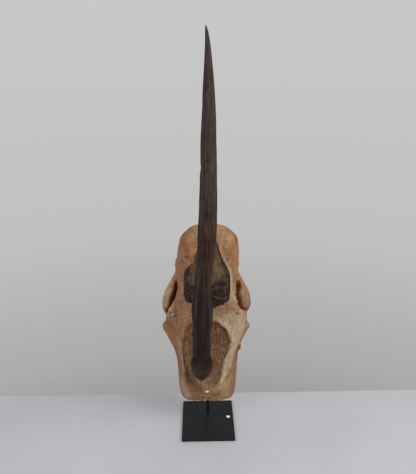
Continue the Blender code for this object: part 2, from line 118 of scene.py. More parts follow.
# %% Camera
CAMERA_AT = (-0.032, -1.4773, 1.5002)
CAMERA_TILT = math.radians(23.214)
CAMERA_TURN = math.radians(1.24)
PHOTO_WIDTH = 416
FOCAL_PIXELS = 450
SENSOR = 36.0

bpy.ops.object.camera_add(location=CAMERA_AT, rotation=(math.pi / 2 - CAMERA_TILT, 0, -CAMERA_TURN))
camera = bpy.context.object
camera.data.sensor_fit = "HORIZONTAL"
camera.data.sensor_width = SENSOR
camera.data.lens = FOCAL_PIXELS * SENSOR / PHOTO_WIDTH
bpy.context.scene.camera = camera
print(f"the lens is {camera.data.lens:.1f} mm on a {SENSOR:.0f} mm sensor")

# %% [markdown]
# ## Floor and light
#
# A studio floor and soft light. The floor ends where the photo's wall begins, and the world's own
# pale grey takes the wall's place, so the back can be seen too. Two large soft lights stand in
# front, the stronger one on the viewer's right, where the bone is palest.

# %% Floor
FLOOR_BACK = 0.169
FLOOR_FRONT = -2.6
FLOOR_HALF_WIDTH = 2.6
# the paper lies half a millimetre under the plate, so the two never flicker through each other
FLOOR_DROP = 0.0005

bpy.ops.mesh.primitive_plane_add(size=1)
floor = bpy.context.object
floor.name = "studio_floor"
pick(floor)
bpy.ops.object.mode_set(mode="EDIT")
bpy.ops.transform.resize(value=(2 * FLOOR_HALF_WIDTH, FLOOR_BACK - FLOOR_FRONT, 1))
bpy.ops.transform.translate(value=(0, (FLOOR_BACK + FLOOR_FRONT) / 2, -FLOOR_DROP))
bpy.ops.object.mode_set(mode="OBJECT")
print(f"the floor is {2 * FLOOR_HALF_WIDTH:.1f} m wide and {FLOOR_BACK - FLOOR_FRONT:.2f} m deep")


# %% Lights
def soft_light(name, place, aim, size, power, color):
    """A square soft light at a place, turned to its aim."""
    bpy.ops.object.light_add(type="AREA", location=place)
    light = bpy.context.object
    light.name = name
    light.rotation_euler = (Vector(aim) - Vector(place)).to_track_quat("-Z", "Y").to_euler()
    light.data.size = size
    light.data.energy = power
    light.data.color = color
    print(f"{name}: {power} W from a square of {size} m")


SKULL_MIDDLE = (0, -0.1, 0.6)
soft_light("key_light", (1.7, -1.6, 2.5), SKULL_MIDDLE, 1.2, 50, (1.0, 0.985, 0.96))
soft_light("fill_light", (-1.9, -1.8, 2.0), SKULL_MIDDLE, 1.4, 25, (0.97, 0.985, 1.0))
soft_light("top_light", (0.0, -0.6, 3.1), SKULL_MIDDLE, 1.6, 8, (1.0, 1.0, 1.0))

# %% [markdown]
# ## Colours, nodes and the wall's tone
#
# Colours are written as sRGB hex values, as a colour picker shows them, and one function turns them
# to the linear values that the renderer works with. One function adds a node, sets it and links
# it. The first use of both is the world: a pale wall that darkens towards the floor, told by the
# height of the direction one looks in, so it is the same from every side.


# %% Colours and nodes
def linear(code, alpha=1.0):
    """A hex colour such as 'a08060' in linear light."""
    shares = [int(code[k:k + 2], 16) / 255 for k in (0, 2, 4)]
    return (*(c / 12.92 if c <= 0.04045 else ((c + 0.055) / 1.055) ** 2.4 for c in shares), alpha)


def add(owner, kind, inputs=None, **settings):
    """Add a node to a material or world, set it, link or fill its inputs, and return it."""
    tree = owner.node_tree
    node = tree.nodes.new(kind)
    for name, value in settings.items():
        setattr(node, name, value)
    for name, value in (inputs or {}).items():
        if isinstance(value, bpy.types.NodeSocket):
            tree.links.new(value, node.inputs[name])
        else:
            node.inputs[name].default_value = value
    return node


print("the bone's a58560 in linear light:", [round(share, 3) for share in linear("a58560")[:3]])


# %% The wall's tone
# share of the way from straight down to straight up, and the wall's colour there
WALL_TONES = ((0.165, "9e9d9d"), (0.193, "aaaaa9"), (0.310, "c0c0bf"), (0.530, "c8c8c9"))

world = bpy.data.worlds.new("studio")
bpy.context.scene.world = world
world.use_nodes = True
direction = add(world, "ShaderNodeTexCoord").outputs["Generated"]
height = add(world, "ShaderNodeSeparateXYZ", {0: direction}).outputs["Z"]
share_up = add(world, "ShaderNodeMapRange", {0: height, 1: -1.0, 2: 1.0}).outputs[0]
tones = add(world, "ShaderNodeValToRGB", {0: share_up})
while len(tones.color_ramp.elements) < len(WALL_TONES):
    tones.color_ramp.elements.new(1.0)
for element, (place_up, code) in zip(tones.color_ramp.elements, WALL_TONES):
    element.position = place_up
    element.color = linear(code)
world.node_tree.links.new(tones.outputs[0], world.node_tree.nodes["Background"].inputs["Color"])
bpy.context.scene.view_settings.view_transform = "Standard"
print("the wall runs from", WALL_TONES[0][1], "at the floor to", WALL_TONES[-1][1], "high up")

# %% [markdown]
# ## Finishes in thin layers
#
# Stained, worn surfaces got their look one stain after another. So each material here is laid on in
# layers over a base colour, as a painter glazes. A layer has a colour, a strength, and masks that
# say where it lies. A mask is either painted on the mesh point by point, or a pattern: its kind,
# the size of its lumps in metres, its stretch along each axis, its detail, and the values between
# which the layer fades in.


# %% Finishes in thin layers
CLOUDS = "ShaderNodeTexNoise"
ROUND = (1, 1, 1)
BUMP_STRENGTH = 0.7


def in_layers(name, base, layers, bumps, surface, follows=None):
    """A material with these layers over its base colour, bumps in metres and surface values."""
    material = bpy.data.materials.new(name)
    material.use_nodes = True
    shader = material.node_tree.nodes["Principled BSDF"]
    for socket, value in surface.items():
        shader.inputs[socket].default_value = value
    if follows:
        place = add(material, "ShaderNodeAttribute", attribute_name=follows).outputs["Vector"]
    else:
        place = add(material, "ShaderNodeTexCoord").outputs["Object"]

    def value_of(mask):
        if isinstance(mask, str):
            return add(material, "ShaderNodeAttribute", attribute_name=mask).outputs["Fac"]
        kind, size, stretch, detail, low, high = mask
        scale = [1 / (size * s) for s in stretch]
        placed = add(material, "ShaderNodeMapping", {"Vector": place, "Scale": scale}).outputs[0]
        pattern = add(material, kind, {"Vector": placed, "Scale": 1.0, "Detail": detail}).outputs[0]
        return add(material, "ShaderNodeMapRange", {0: pattern, 1: low, 2: high}).outputs[0]

    color = linear(base)
    for code, strength, *masks in layers:
        share = strength
        for mask in masks:
            factors = {0: value_of(mask), 1: share}
            share = add(material, "ShaderNodeMath", factors, operation="MULTIPLY").outputs[0]
        mix = add(material, "ShaderNodeMix", {0: share, 6: color, 7: linear(code)}, data_type="RGBA")
        color = mix.outputs[2]
    material.node_tree.links.new(color, shader.inputs["Base Color"])

    normal = None
    for mask, depth in bumps:
        inputs = {"Strength": BUMP_STRENGTH, "Distance": depth, "Height": value_of(mask)}
        if normal:
            inputs["Normal"] = normal
        normal = add(material, "ShaderNodeBump", inputs).outputs[0]
    if normal:
        material.node_tree.links.new(normal, shader.inputs["Normal"])
    print(f"{name}: {len(layers)} layers and {len(bumps)} bumps")
    return material


# %% Floor paper
# Studio paper is uncoated and comes off a wide roll. To the eye it is matt and even, lavender grey
# here, with slow waves of tone about 350 mm across and no grain that could be seen.
PAPER_WAVES = (CLOUDS, 0.35, ROUND, 4, 0.3, 0.7)

floor.data.materials.append(in_layers(
    "Matt studio paper", "b9b8be", [("b3b2b8", 1.0, PAPER_WAVES)], [], {"Roughness": 0.75}))

# %% [markdown]
# ## Helpers for shaping by numbers
#
# Bone and horn are shaped by thousands of small pits and ridges. Sculpting them by hand would give
# another skull each time, so the points are moved by formulas instead. These helpers read a mesh's
# points into an array and write them back, give soft steps, bell curves and noise, and measure how
# far a point lies from a line drawn on the bone.


# %% Read, write and measure points
def points_of(piece):
    """The piece's points as an array with one row each."""
    flat = np.empty(len(piece.data.vertices) * 3)
    piece.data.vertices.foreach_get("co", flat)
    return flat.reshape(-1, 3)


def normals_of(piece):
    """The direction that the surface faces at each point."""
    flat = np.empty(len(piece.data.vertices) * 3)
    piece.data.vertices.foreach_get("normal", flat)
    return flat.reshape(-1, 3)


def put_points(piece, points):
    """Write moved points back."""
    piece.data.vertices.foreach_set("co", points.ravel())
    piece.data.update()


def paint(piece, name, values):
    """Store one number from 0 to 1 at each point, for the material to read."""
    layer = piece.data.attributes.new(name, "FLOAT", "POINT")
    layer.data.foreach_set("value", np.clip(values, 0.0, 1.0).astype(np.float32))


def smoothstep(low, high, values):
    """0 below low, 1 above high, and a soft step between."""
    share = np.clip((np.asarray(values) - low) / (high - low), 0.0, 1.0)
    return share * share * (3 - 2 * share)


def window(values, limits):
    """1 between the inner two of four limits, 0 outside the outer two, with soft steps between."""
    start, full, fading, end = limits
    return smoothstep(start, full, values) * smoothstep(end, fading, values)


def bell(values, middle, width):
    """1 at the middle value, fading out over a width to both sides."""
    return np.exp(-(((values - middle) / width) ** 2))


def soft_noise(points, size, seed=0.0, octaves=3):
    """Cloudy noise from about -1 to 1 whose lumps are about size metres across."""
    shift = Vector((seed * 17.3, seed * 5.1, seed * 11.7))
    return np.array([noise.fractal(Vector(p) / size + shift, 0.9, 2.0, octaves) for p in points])


def cells(points, size, seed=0.0):
    """Distance to the nearest and second nearest grain centre, in grains of about size metres."""
    shift = Vector((seed * 7.7, seed * 13.1, seed * 3.3))
    near = [noise.voronoi(Vector(p) / size + shift)[0][:2] for p in points]
    return np.array(near)


def line_distance(points, line):
    """Distance across the face of the skull from a line given as x and z pairs."""
    at = points[:, (0, 2)]
    nearest = np.full(len(at), 9.0)
    for start, end in zip(np.array(line[:-1]), np.array(line[1:])):
        along = end - start
        share = np.clip(((at - start) @ along) / (along @ along), 0, 1)
        nearest = np.minimum(nearest, np.linalg.norm(at - start - share[:, None] * along, axis=1))
    return nearest


def inside(points, outline, softness):
    """1 inside a closed outline of x and z pairs, 0 outside, with a soft edge of that width."""
    x, z = points[:, 0], points[:, 2]
    crossings = np.zeros(len(points), bool)
    closed = list(outline) + [outline[0]]
    for (x0, z0), (x1, z1) in zip(closed[:-1], closed[1:]):
        if z0 != z1:
            between = (z > min(z0, z1)) & (z <= max(z0, z1))
            crossings ^= between & (x < x0 + (z - z0) / (z1 - z0) * (x1 - x0))
    away = line_distance(points, closed)
    return smoothstep(-softness, softness, np.where(crossings, away, -away))


print(f"a quarter of the way, a soft step has risen to {smoothstep(0, 1, 0.25):.2f}")


# %% [markdown]
# ## The bones
#
# A skull is grown, not built: no edge on it is straight or sharp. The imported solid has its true
# forms in flat facets of a centimetre or two. A voxel remesh turns them into an even skin of small
# squares, and a smoothing pass melts the facets. The face gets a second round of subdivision,
# because its pores are smaller than the squares.

# %% Even skin
BONE_VOXEL = 0.0041
MELT_PASSES = 9
# the part of the face with small pores: its limits in x and z, and how far back it reaches
FACE_BOX = ((-0.105, 0.125), (0.185, 0.605))
FACE_BACK = -0.082
# the rims of the temporal fossae: distance from the middle, and height
RIM_SIDE = (0.070, 0.122)
RIM_HEIGHT = (0.655, 0.790)
RIM_PASSES = 40

bone = copy_of("skull", "skull_bone")
apply_modifier(bone, "REMESH", mode="VOXEL", voxel_size=BONE_VOXEL)
apply_modifier(bone, "SMOOTH", factor=0.5, iterations=MELT_PASSES)
report(bone)


def select_points(piece, wanted):
    """Select the points for which wanted is true, in edit mode."""
    pick(piece)
    bpy.ops.object.mode_set(mode="EDIT")
    bpy.ops.mesh.select_mode(type="VERT")
    bpy.ops.mesh.select_all(action="DESELECT")
    mesh = bmesh.from_edit_mesh(piece.data)
    for vert, chosen in zip(mesh.verts, wanted):
        vert.select_set(bool(chosen))
    mesh.select_flush(True)
    bmesh.update_edit_mesh(piece.data)


def between(values, limits):
    """True where a value lies between two limits."""
    return (values > limits[0]) & (values < limits[1])


def soften_fossa_rims(piece):
    """Round the braincase's edge where it dips into the temporal fossae."""
    x, y, z = points_of(piece).T
    select_points(piece, between(np.abs(x), RIM_SIDE) & between(z, RIM_HEIGHT) & (y < 0.0))
    bpy.ops.mesh.vertices_smooth(factor=0.5, repeat=RIM_PASSES)
    bpy.ops.object.mode_set(mode="OBJECT")


def refine_face(piece):
    """Subdivide the skin of the nose horn's seat, its pale ridge and the nose's tip."""
    x, y, z = points_of(piece).T
    select_points(piece, (y < FACE_BACK) & between(x, FACE_BOX[0]) & between(z, FACE_BOX[1]))
    bpy.ops.mesh.subdivide(number_cuts=1)
    bpy.ops.object.mode_set(mode="OBJECT")


soften_fossa_rims(bone)
refine_face(bone)
report(bone)

# %% [markdown]
# ## Where each kind of bone lies
#
# Under a horn the bone is rough and porous, because the horn grew from skin that was fed through
# those pores. Elsewhere it is smooth. The outlines and lines below follow what the photo shows, in
# metres on the front of the skull, as pairs of x and z.

# %% Outlines on the face of the skull
NOSE_PATCH = (
    (-0.014, 0.271), (0.006, 0.268), (0.027, 0.281), (0.042, 0.313), (0.049, 0.348), (0.051, 0.378),
    (0.055, 0.411), (0.064, 0.436), (0.073, 0.461), (0.080, 0.486), (0.076, 0.512), (0.064, 0.539),
    (0.048, 0.562), (0.034, 0.578), (0.000, 0.585), (-0.056, 0.581), (-0.068, 0.564), (-0.080, 0.537),
    (-0.091, 0.494), (-0.095, 0.449), (-0.092, 0.406), (-0.085, 0.364), (-0.081, 0.328),
    (-0.070, 0.297), (-0.045, 0.281), (-0.029, 0.268),
)
PALE_RIDGE = (
    (0.030, 0.590), (0.062, 0.640), (0.118, 0.640), (0.140, 0.570), (0.128, 0.523), (0.116, 0.483),
    (0.105, 0.448), (0.093, 0.422), (0.082, 0.390), (0.070, 0.355), (0.058, 0.325), (0.044, 0.300),
    (0.047, 0.335), (0.053, 0.378), (0.059, 0.411), (0.069, 0.436), (0.080, 0.461), (0.086, 0.486),
    (0.080, 0.515), (0.066, 0.545),
)
FOREHEAD_PATCH = (
    (-0.092, 0.665), (-0.060, 0.652), (0.000, 0.645), (0.030, 0.642), (0.060, 0.652), (0.080, 0.672),
    (0.081, 0.775), (0.064, 0.818), (0.044, 0.875), (0.020, 0.920), (-0.020, 0.920), (-0.044, 0.875),
    (-0.066, 0.818), (-0.088, 0.775),
)
NOSE_TIP_BAND = (
    (-0.064, 0.262), (-0.050, 0.268), (0.000, 0.266), (0.044, 0.262), (0.048, 0.236), (0.044, 0.206),
    (0.020, 0.190), (-0.020, 0.186), (-0.060, 0.196), (-0.068, 0.230),
)
CHEEK = ((-0.160, 0.575), (-0.128, 0.600), (-0.104, 0.585), (-0.108, 0.520), (-0.104, 0.470),
         (-0.120, 0.480))
LEFT_PARIETAL = ((-0.104, 0.860), (-0.066, 0.860), (-0.064, 0.790), (-0.088, 0.725), (-0.112, 0.715),
                 (-0.114, 0.780))
RIGHT_FRONTAL = ((0.020, 0.640), (0.060, 0.655), (0.082, 0.690), (0.108, 0.668), (0.125, 0.615),
                 (0.090, 0.600), (0.040, 0.605))
print("outline points of the nose horn's seat:", len(NOSE_PATCH))

# %% Lines on the face of the skull
RIGHT_CREST = ((0.030, 0.586), (0.058, 0.560), (0.082, 0.520), (0.086, 0.486), (0.076, 0.448),
               (0.061, 0.412), (0.055, 0.372), (0.052, 0.335), (0.043, 0.302))
LEFT_CREST = ((-0.070, 0.580), (-0.090, 0.540), (-0.102, 0.490), (-0.103, 0.450), (-0.098, 0.405),
              (-0.091, 0.360), (-0.089, 0.318), (-0.076, 0.285), (-0.048, 0.270))
LEFT_STREAK = ((-0.106, 0.490), (-0.103, 0.456), (-0.096, 0.424), (-0.092, 0.388), (-0.091, 0.318))
RIGHT_BROW = ((0.083, 0.699), (0.098, 0.682), (0.108, 0.660), (0.114, 0.636), (0.108, 0.616))
LEFT_BROW = ((-0.094, 0.690), (-0.104, 0.668), (-0.120, 0.640), (-0.136, 0.618))
# the rim along the forehead horn's right side is raised pale bone with a painted highlight
HORN_RIM = ((0.034, 0.865), (0.044, 0.837), (0.054, 0.817), (0.065, 0.794), (0.076, 0.774), (0.080, 0.740),
            (0.080, 0.690), (0.090, 0.676), (0.102, 0.658))
LEFT_HORN_RIM = ((-0.088, 0.745), (-0.091, 0.722), (-0.094, 0.700), (-0.094, 0.670))
CREST_EDGE = ((-0.080, 0.905), (-0.050, 0.922), (-0.015, 0.928), (0.030, 0.928), (0.055, 0.918),
              (0.068, 0.905), (0.078, 0.884))
# the dark rim is a painted shadow along the crest's upper right edge
DARK_RIM = ((0.060, 0.936), (0.076, 0.924), (0.087, 0.910), (0.094, 0.895), (0.097, 0.876))
CRESCENT = ((-0.084, 0.352), (-0.079, 0.322), (-0.066, 0.295), (-0.048, 0.281), (-0.036, 0.266))
SPUR = ((0.114, 0.462), (0.112, 0.450), (0.111, 0.440))
BROKEN_EDGE = ((0.112, 0.440), (0.107, 0.410), (0.105, 0.378))
TIP_OF_RIDGE = ((0.063, 0.346), (0.056, 0.330), (0.050, 0.316), (0.048, 0.306))
UNDER_HORN = ((-0.048, 0.326), (-0.036, 0.310), (-0.020, 0.304), (-0.008, 0.316), (0.003, 0.334))
# a painted highlight on the bone beside the nose horn
BESIDE_HORN = ((0.013, 0.492), (0.015, 0.470), (0.013, 0.448))
BRIGHT_LOBE = ((-0.100, 0.300), (-0.096, 0.250), (-0.082, 0.215))

# raised and sunk lines: the line, its width and its height in metres
RAISED = (
    (RIGHT_CREST, 0.0090, 0.0046), (LEFT_CREST, 0.0070, 0.0036), (LEFT_STREAK, 0.0050, 0.0020),
    (HORN_RIM, 0.0060, 0.0022), (LEFT_HORN_RIM, 0.0040, 0.0012), (TIP_OF_RIDGE, 0.0060, 0.0035),
    (CREST_EDGE, 0.0045, -0.0018), (CRESCENT, 0.0070, -0.0016),
)
# pits and holes: x, z, radius and depth in metres
PITS = (
    (-0.023, 0.212, 0.0050, 0.0050), (0.004, 0.207, 0.0060, 0.0060), (0.023, 0.232, 0.0055, 0.0045),
    (0.037, 0.230, 0.0050, 0.0040), (-0.067, 0.253, 0.0045, 0.0030), (-0.136, 0.613, 0.0065, 0.0060),
    (-0.119, 0.600, 0.0055, 0.0040), (-0.139, 0.587, 0.0046, 0.0040), (-0.112, 0.581, 0.0045, 0.0030),
    (-0.078, 0.824, 0.0055, 0.0035), (-0.083, 0.806, 0.0042, 0.0025), (0.066, 0.818, 0.0055, 0.0025),
    (0.104, 0.609, 0.0065, 0.0045), (-0.060, 0.395, 0.0060, 0.0045), (0.083, 0.350, 0.0040, 0.0025),
    (0.070, 0.332, 0.0040, 0.0025), (0.090, 0.300, 0.0042, 0.0018), (0.078, 0.262, 0.0045, 0.0018),
)
# stains along lines, with painted highlights and a painted shadow among them: the line, its width and its
# strength
LINE_STAINS_AND_LIGHT = {
    # the rim by the forehead horn is pale bone with a painted highlight on it
    "pale": ((HORN_RIM, 0.0044, 0.95), (LEFT_HORN_RIM, 0.0028, 0.35), (LEFT_STREAK, 0.0055, 0.80),
             (RIGHT_CREST, 0.0060, 0.30), (BRIGHT_LOBE, 0.0140, 0.55)),
    # the line beside the nose horn is a painted highlight
    "bright": ((TIP_OF_RIDGE, 0.0046, 1.2), (UNDER_HORN, 0.0085, 0.26), (BESIDE_HORN, 0.0040, 0.22)),
    # the dark rim is a painted shadow under the crest's edge
    "dark": ((DARK_RIM, 0.0034, 0.95), (BROKEN_EDGE, 0.0035, 0.55), (SPUR, 0.0042, 1.0)),
    "umber": ((CRESCENT, 0.0170, 1.4), (LEFT_CREST, 0.0040, 0.25)),
}
# stains in spots: x, z, width, height and strength
SPOT_STAINS = {
    "ochre": ((0.082, 0.888, 0.016, 0.022, 1.0), (0.102, 0.778, 0.014, 0.024, 1.0),
              (0.096, 0.835, 0.010, 0.020, 0.8), (0.046, 0.850, 0.008, 0.022, 0.6),
              (-0.101, 0.840, 0.012, 0.030, 0.8), (-0.112, 0.755, 0.012, 0.030, 0.9),
              (0.008, 0.262, 0.010, 0.004, 0.9), (-0.055, 0.862, 0.010, 0.020, 0.5)),
    "chalk": ((-0.128, 0.611, 0.0034, 0.0034, 1.6), (-0.006, 0.255, 0.0060, 0.0037, 1.6)),
    "red": ((0.056, 0.492, 0.034, 0.058, 1.1), (-0.066, 0.470, 0.012, 0.030, 0.4)),
}
print(len(RAISED), "raised and sunk lines,", len(PITS), "pits")

# %% [markdown]
# ## Relief of the bone
#
# Each feature lifts or sinks the skin a little: the pitted seat of the nose horn and the crests
# beside it, lumps of the brow, pits by the eye, a spur, and the cleft at the nose's tip. The packed
# right brow stands out too far, so it is drawn in first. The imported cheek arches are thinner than
# the real ones, so their inner sides grow, and the outline steps in just below each arch. A brush
# could do all this by eye, but a formula can be read, changed and run again.


# %% Places on the face
def front_share(points, normals):
    """1 on the side of the skull that faces the viewer, fading to 0 round its edge."""
    return smoothstep(0.0, 0.45, -normals[:, 1]) * smoothstep(-0.040, -0.070, points[:, 1])


def spot(points, x, z, width, height):
    """1 at a place on the face of the skull, fading out over its width and height."""
    return bell(points[:, 0], x, width) * bell(points[:, 2], z, height)


def stroke(points, line, width):
    """1 along a line on the face of the skull, fading out over its width."""
    return bell(line_distance(points, line), 0, width)


print(f"a line 5 mm wide has faded to {bell(0.005, 0, 0.005):.2f} at 5 mm from it")


# %% Arches and brows
# for each form, the height where it starts, is full, is full until, and ends
ARCH_HEIGHTS = (0.570, 0.600, 0.710, 0.745)
LOW_ARCH_HEIGHTS = (0.586, 0.606, 0.652, 0.688)
BROW_HEIGHTS = (0.592, 0.612, 0.675, 0.700)
DRAWN_IN_HEIGHTS = (0.596, 0.630, 0.680, 0.706)
# the right brow is drawn in by this share of what lies past this x
DRAWN_IN_SHARE = 0.46
DRAWN_IN_FROM = 0.095
# growth of the arches' inner sides, and what the lower part of each grows more
ARCH_GROWTH = 0.0060
LOW_GROWTH_RIGHT = 0.0200
LOW_GROWTH_LEFT = 0.0080
# growth of the brows' outer edges, the x that it ends at, and what the low left part has more
BROW_GROWTH_RIGHT = 0.0010
BROW_GROWTH_LEFT = 0.0060
BROW_REACH = 0.132
LOW_LEFT_GROWTH = 0.0030
LOW_LEFT_REACH = 0.018


def thicken_arches(piece):
    """Draw the right brow in, and let the arches' inner sides and the brows' outer edges grow."""
    points, normals = points_of(piece), normals_of(piece)
    # x, y and z are views into points, so changing x moves the points
    x, y, z = points.T
    drawn_in = smoothstep(-0.030, -0.060, y) * window(z, DRAWN_IN_HEIGHTS)
    x -= DRAWN_IN_SHARE * drawn_in * np.maximum(x - DRAWN_IN_FROM, 0) * smoothstep(0.160, 0.140, x)
    out = np.sign(x) * normals[:, 0]
    arch = smoothstep(0.118, 0.130, np.abs(x)) * window(z, ARCH_HEIGHTS)
    low_growth = window(z, LOW_ARCH_HEIGHTS) * np.where(x > 0, LOW_GROWTH_RIGHT, LOW_GROWTH_LEFT)
    inner = arch * smoothstep(-0.1, -0.7, out) * (ARCH_GROWTH + low_growth)
    brow = window(z, BROW_HEIGHTS) * smoothstep(-0.05, -0.085, y)
    low_left = smoothstep(0.668, 0.630, z) * (x < 0)
    limit = smoothstep(0.0, 0.016, BROW_REACH + LOW_LEFT_REACH * low_left - np.abs(x))
    brow_growth = np.where(x > 0, BROW_GROWTH_RIGHT, BROW_GROWTH_LEFT + LOW_LEFT_GROWTH * low_left)
    outer = brow * smoothstep(0.1, 0.7, out) * limit * brow_growth
    put_points(piece, points + normals * (inner + outer)[:, None])
    print(f"arches grow by up to {inner.max() * 1000:.0f} mm, brows by up to {outer.max() * 1000:.0f} mm")


# %% Relief
# The pores under the horn are 1 to 3 mm wide on a real skull. They are drawn coarser, in cells of
# 6.8 mm, because the skin's squares are about 2 mm there.
PORE_CELL = 0.0068
PORE_DEPTH = 0.0020
SEAT_DEPTH = 0.0034
BROW_WIDTH = 0.011
SPUR_WIDTH = 0.0042
SPUR_HEIGHT = 0.0110
# the outline steps in just below each cheek arch
STEP_Z = 0.543
STEP_HALF_HEIGHT = 0.0055
STEP_DEPTH = 0.0070
CLEFT_X = -0.010
CLEFT_HALF_WIDTH = 0.007
CLEFT_DEPTH = 0.0060


def raise_relief(piece):
    """Move the skin along its normals: seat, crests, lumps, pits, spur, steps and cleft."""
    points, normals = points_of(piece), normals_of(piece)
    x, y, z = points.T
    front = front_share(points, normals)
    patch, forehead, band, frontal, cheek = (
        inside(points, outline, softness) * front for outline, softness in (
            (NOSE_PATCH, 0.005), (FOREHEAD_PATCH, 0.008), (NOSE_TIP_BAND, 0.008), (RIGHT_FRONTAL, 0.012),
            (CHEEK, 0.012)))
    near, second = cells(points, PORE_CELL, 3).T
    pores = 1 - smoothstep(0.16, 0.50, near)
    walls = 1 - smoothstep(0.02, 0.30, second - near)
    slanted = points * (1.0, 1, 0.35) + points[:, [2, 1, 0]] * (0.45, 0, 0)

    # in each line a height in metres goes with noise whose lumps have a size in metres
    lift = 0.0014 * soft_noise(points, 0.030, 1, 4) + 0.0005 * soft_noise(points, 0.009, 2, 3)
    seat_lumps = 0.0026 * soft_noise(points, 0.014, 4, 3)
    lift += patch * (-SEAT_DEPTH - PORE_DEPTH * pores + 0.0010 * walls + seat_lumps)
    lift += forehead * (0.0012 * soft_noise(points, 0.014, 5, 3) - 0.0008 * pores)
    lift += frontal * (0.0040 * soft_noise(points * (1, 1, 0.75), 0.016, 6, 3) - 0.0005)
    lift += cheek * 0.0014 * soft_noise(slanted, 0.006, 9, 2)
    lift += band * (-0.0006 - 0.0018 * pores + 0.0018 * soft_noise(points, 0.012, 7, 3))
    lift += (1 - np.maximum(patch, band)) * 0.0007 * soft_noise(points * (1, 1, 0.22), 0.011, 8, 3)
    for line, width, height in RAISED:
        lift += front * height * stroke(points, line, width)
    for brow in (RIGHT_BROW, LEFT_BROW):
        lumps = 0.0022 + 0.0060 * soft_noise(points, 0.014, 6, 2)
        lift += front * stroke(points, brow, BROW_WIDTH) * lumps
    for pit_x, pit_z, radius, depth in PITS:
        lift -= front * depth * spot(points, pit_x, pit_z, radius, radius)
    spur = stroke(points, SPUR, SPUR_WIDTH) * smoothstep(-0.05, -0.07, y)
    lift += SPUR_HEIGHT * spur * (0.8 + soft_noise(points, 0.006, 10, 2))
    step = bell(z, STEP_Z, STEP_HALF_HEIGHT) * smoothstep(0.120, 0.138, np.abs(x + 0.004))
    lift -= STEP_DEPTH * step
    cleft = bell(x, CLEFT_X, CLEFT_HALF_WIDTH) * smoothstep(0.202, 0.172, z) * smoothstep(0.02, -0.03, y)
    lift -= CLEFT_DEPTH * cleft
    put_points(piece, points + normals * lift[:, None])
    patchy = 0.35 + 0.65 * smoothstep(-0.4, 0.3, soft_noise(points, 0.020, 12, 2))
    return {"patch": patch, "band": band, "pores": pores * patchy, "walls": walls * patchy}


thicken_arches(bone)
masks = raise_relief(bone)
print("points in the nose horn's seat:", int((masks["patch"] > 0.5).sum()))

# %% [markdown]
# ## Stains, painted shade and painted highlights of the bone
#
# Earth and water stained each kind of bone in its own way, so the stains follow the outlines and
# lines that the relief used. They could be painted with a brush on an unwrapped skull. As numbers at
# each point they need no unwrapping, and noise breaks them up so that no edge is clean. Some marks are
# painted light instead: a shadow along the crest's right edge, shade in the pits, on sideways faces
# and partly on the left side, and highlights on the left arch and on the bone by both horns.


# %% Stains
# pits are darkened with painted shade: a pit this deep is fully dark, and a shallower one is paler
DARK_PIT_DEPTH = 0.0045
# the seat is paler in one spot: x, z, width and height
PALE_SEAT_SPOT = (-0.066, 0.556, 0.022, 0.040)
# pale flecks lie under the nose horn's foot: x, z, width and height
FLECKED_SPOT = (0.006, 0.285, 0.036, 0.015)


def ragged(points, outline, softness, roughness, seed):
    """1 inside an outline whose edge wanders by about roughness metres."""
    wander = roughness * soft_noise(points, 0.020, seed, 3)
    return inside(points + wander[:, None] * (1, 0, 1), outline, softness)


def stain_and_shade(piece, masks):
    """Where each stain, painted shade and painted highlight lies, added to the masks."""
    points, normals = points_of(piece), normals_of(piece)
    x, y, z = points.T
    front = front_share(points, normals)
    edge = smoothstep(-0.03, -0.05, y)
    mottle = smoothstep(-0.1, 0.5, soft_noise(points, 0.016, 17, 3))
    # points squeezed along a leaning line, so that noise on them is drawn out along it
    along_ridge = np.column_stack((0.95 * x - 0.31 * z, 0.4 * y, 0.14 * (0.31 * x + 0.95 * z)))
    masks["grain"] = smoothstep(-0.1, 0.5, soft_noise(along_ridge, 0.0052, 18, 3))
    down_cheek = np.column_stack((0.9 * x + 0.42 * z, 0.3 * y, 0.12 * z))
    cheek_lines = smoothstep(0.0, 0.5, soft_noise(down_cheek, 0.0065, 19, 2))
    warm_cheek = inside(points, CHEEK, 0.012) * front * (0.35 + 0.65 * cheek_lines)
    masks["patch"] = ragged(points, NOSE_PATCH, 0.0035, 0.0045, 20) * front
    masks["patch"] *= 1 - 0.55 * spot(points, *PALE_SEAT_SPOT)
    masks["warm"] = inside(points, LEFT_PARIETAL, 0.02) * front * mottle + warm_cheek
    masks["pale"] = ragged(points, PALE_RIDGE, 0.010, 0.006, 15) * smoothstep(0.640, 0.570, z) * front
    for name, lines in LINE_STAINS_AND_LIGHT.items():
        where = front if name in ("pale", "bright", "umber") else edge
        masks[name] = masks.get(name, 0) + sum(where * share * stroke(points, line, width)
                                               for line, width, share in lines)
    for name, spots in SPOT_STAINS.items():
        masks[name] = sum(front * share * spot(points, *place) for *place, share in spots)
    # painted shade in the pits, darker the deeper they are
    for pit_x, pit_z, radius, depth in PITS:
        darkness = min(depth / DARK_PIT_DEPTH, 1.0)
        masks["dark"] = masks["dark"] + front * spot(points, pit_x, pit_z, radius, radius) * darkness
    masks["umber"] = masks["umber"] * (0.6 + 0.4 * mottle)
    # darker and warmer on the left: a warmer stain there, and painted shade on the side away from the key
    # light
    masks["left"] = smoothstep(0.050, -0.080, x)
    # painted shade: darker, oranger faces turned sideways on the front of the skull
    masks["side"] = smoothstep(0.30, 0.85, np.abs(normals[:, 0])) * smoothstep(0.02, -0.06, y)
    # the cheek arches; the left one gets a painted highlight
    masks["arch"] = smoothstep(0.122, 0.140, np.abs(x)) * window(z, ARCH_HEIGHTS)
    flecks = smoothstep(-0.15, 0.45, soft_noise(points, 0.0045, 27, 2))
    masks["bright"] = (masks["bright"] + front * spot(points, *FLECKED_SPOT) * 0.32) * flecks
    masks["top"] = smoothstep(0.860, 0.935, z)


stain_and_shade(bone, masks)
print("masks so far:", ", ".join(sorted(masks)))

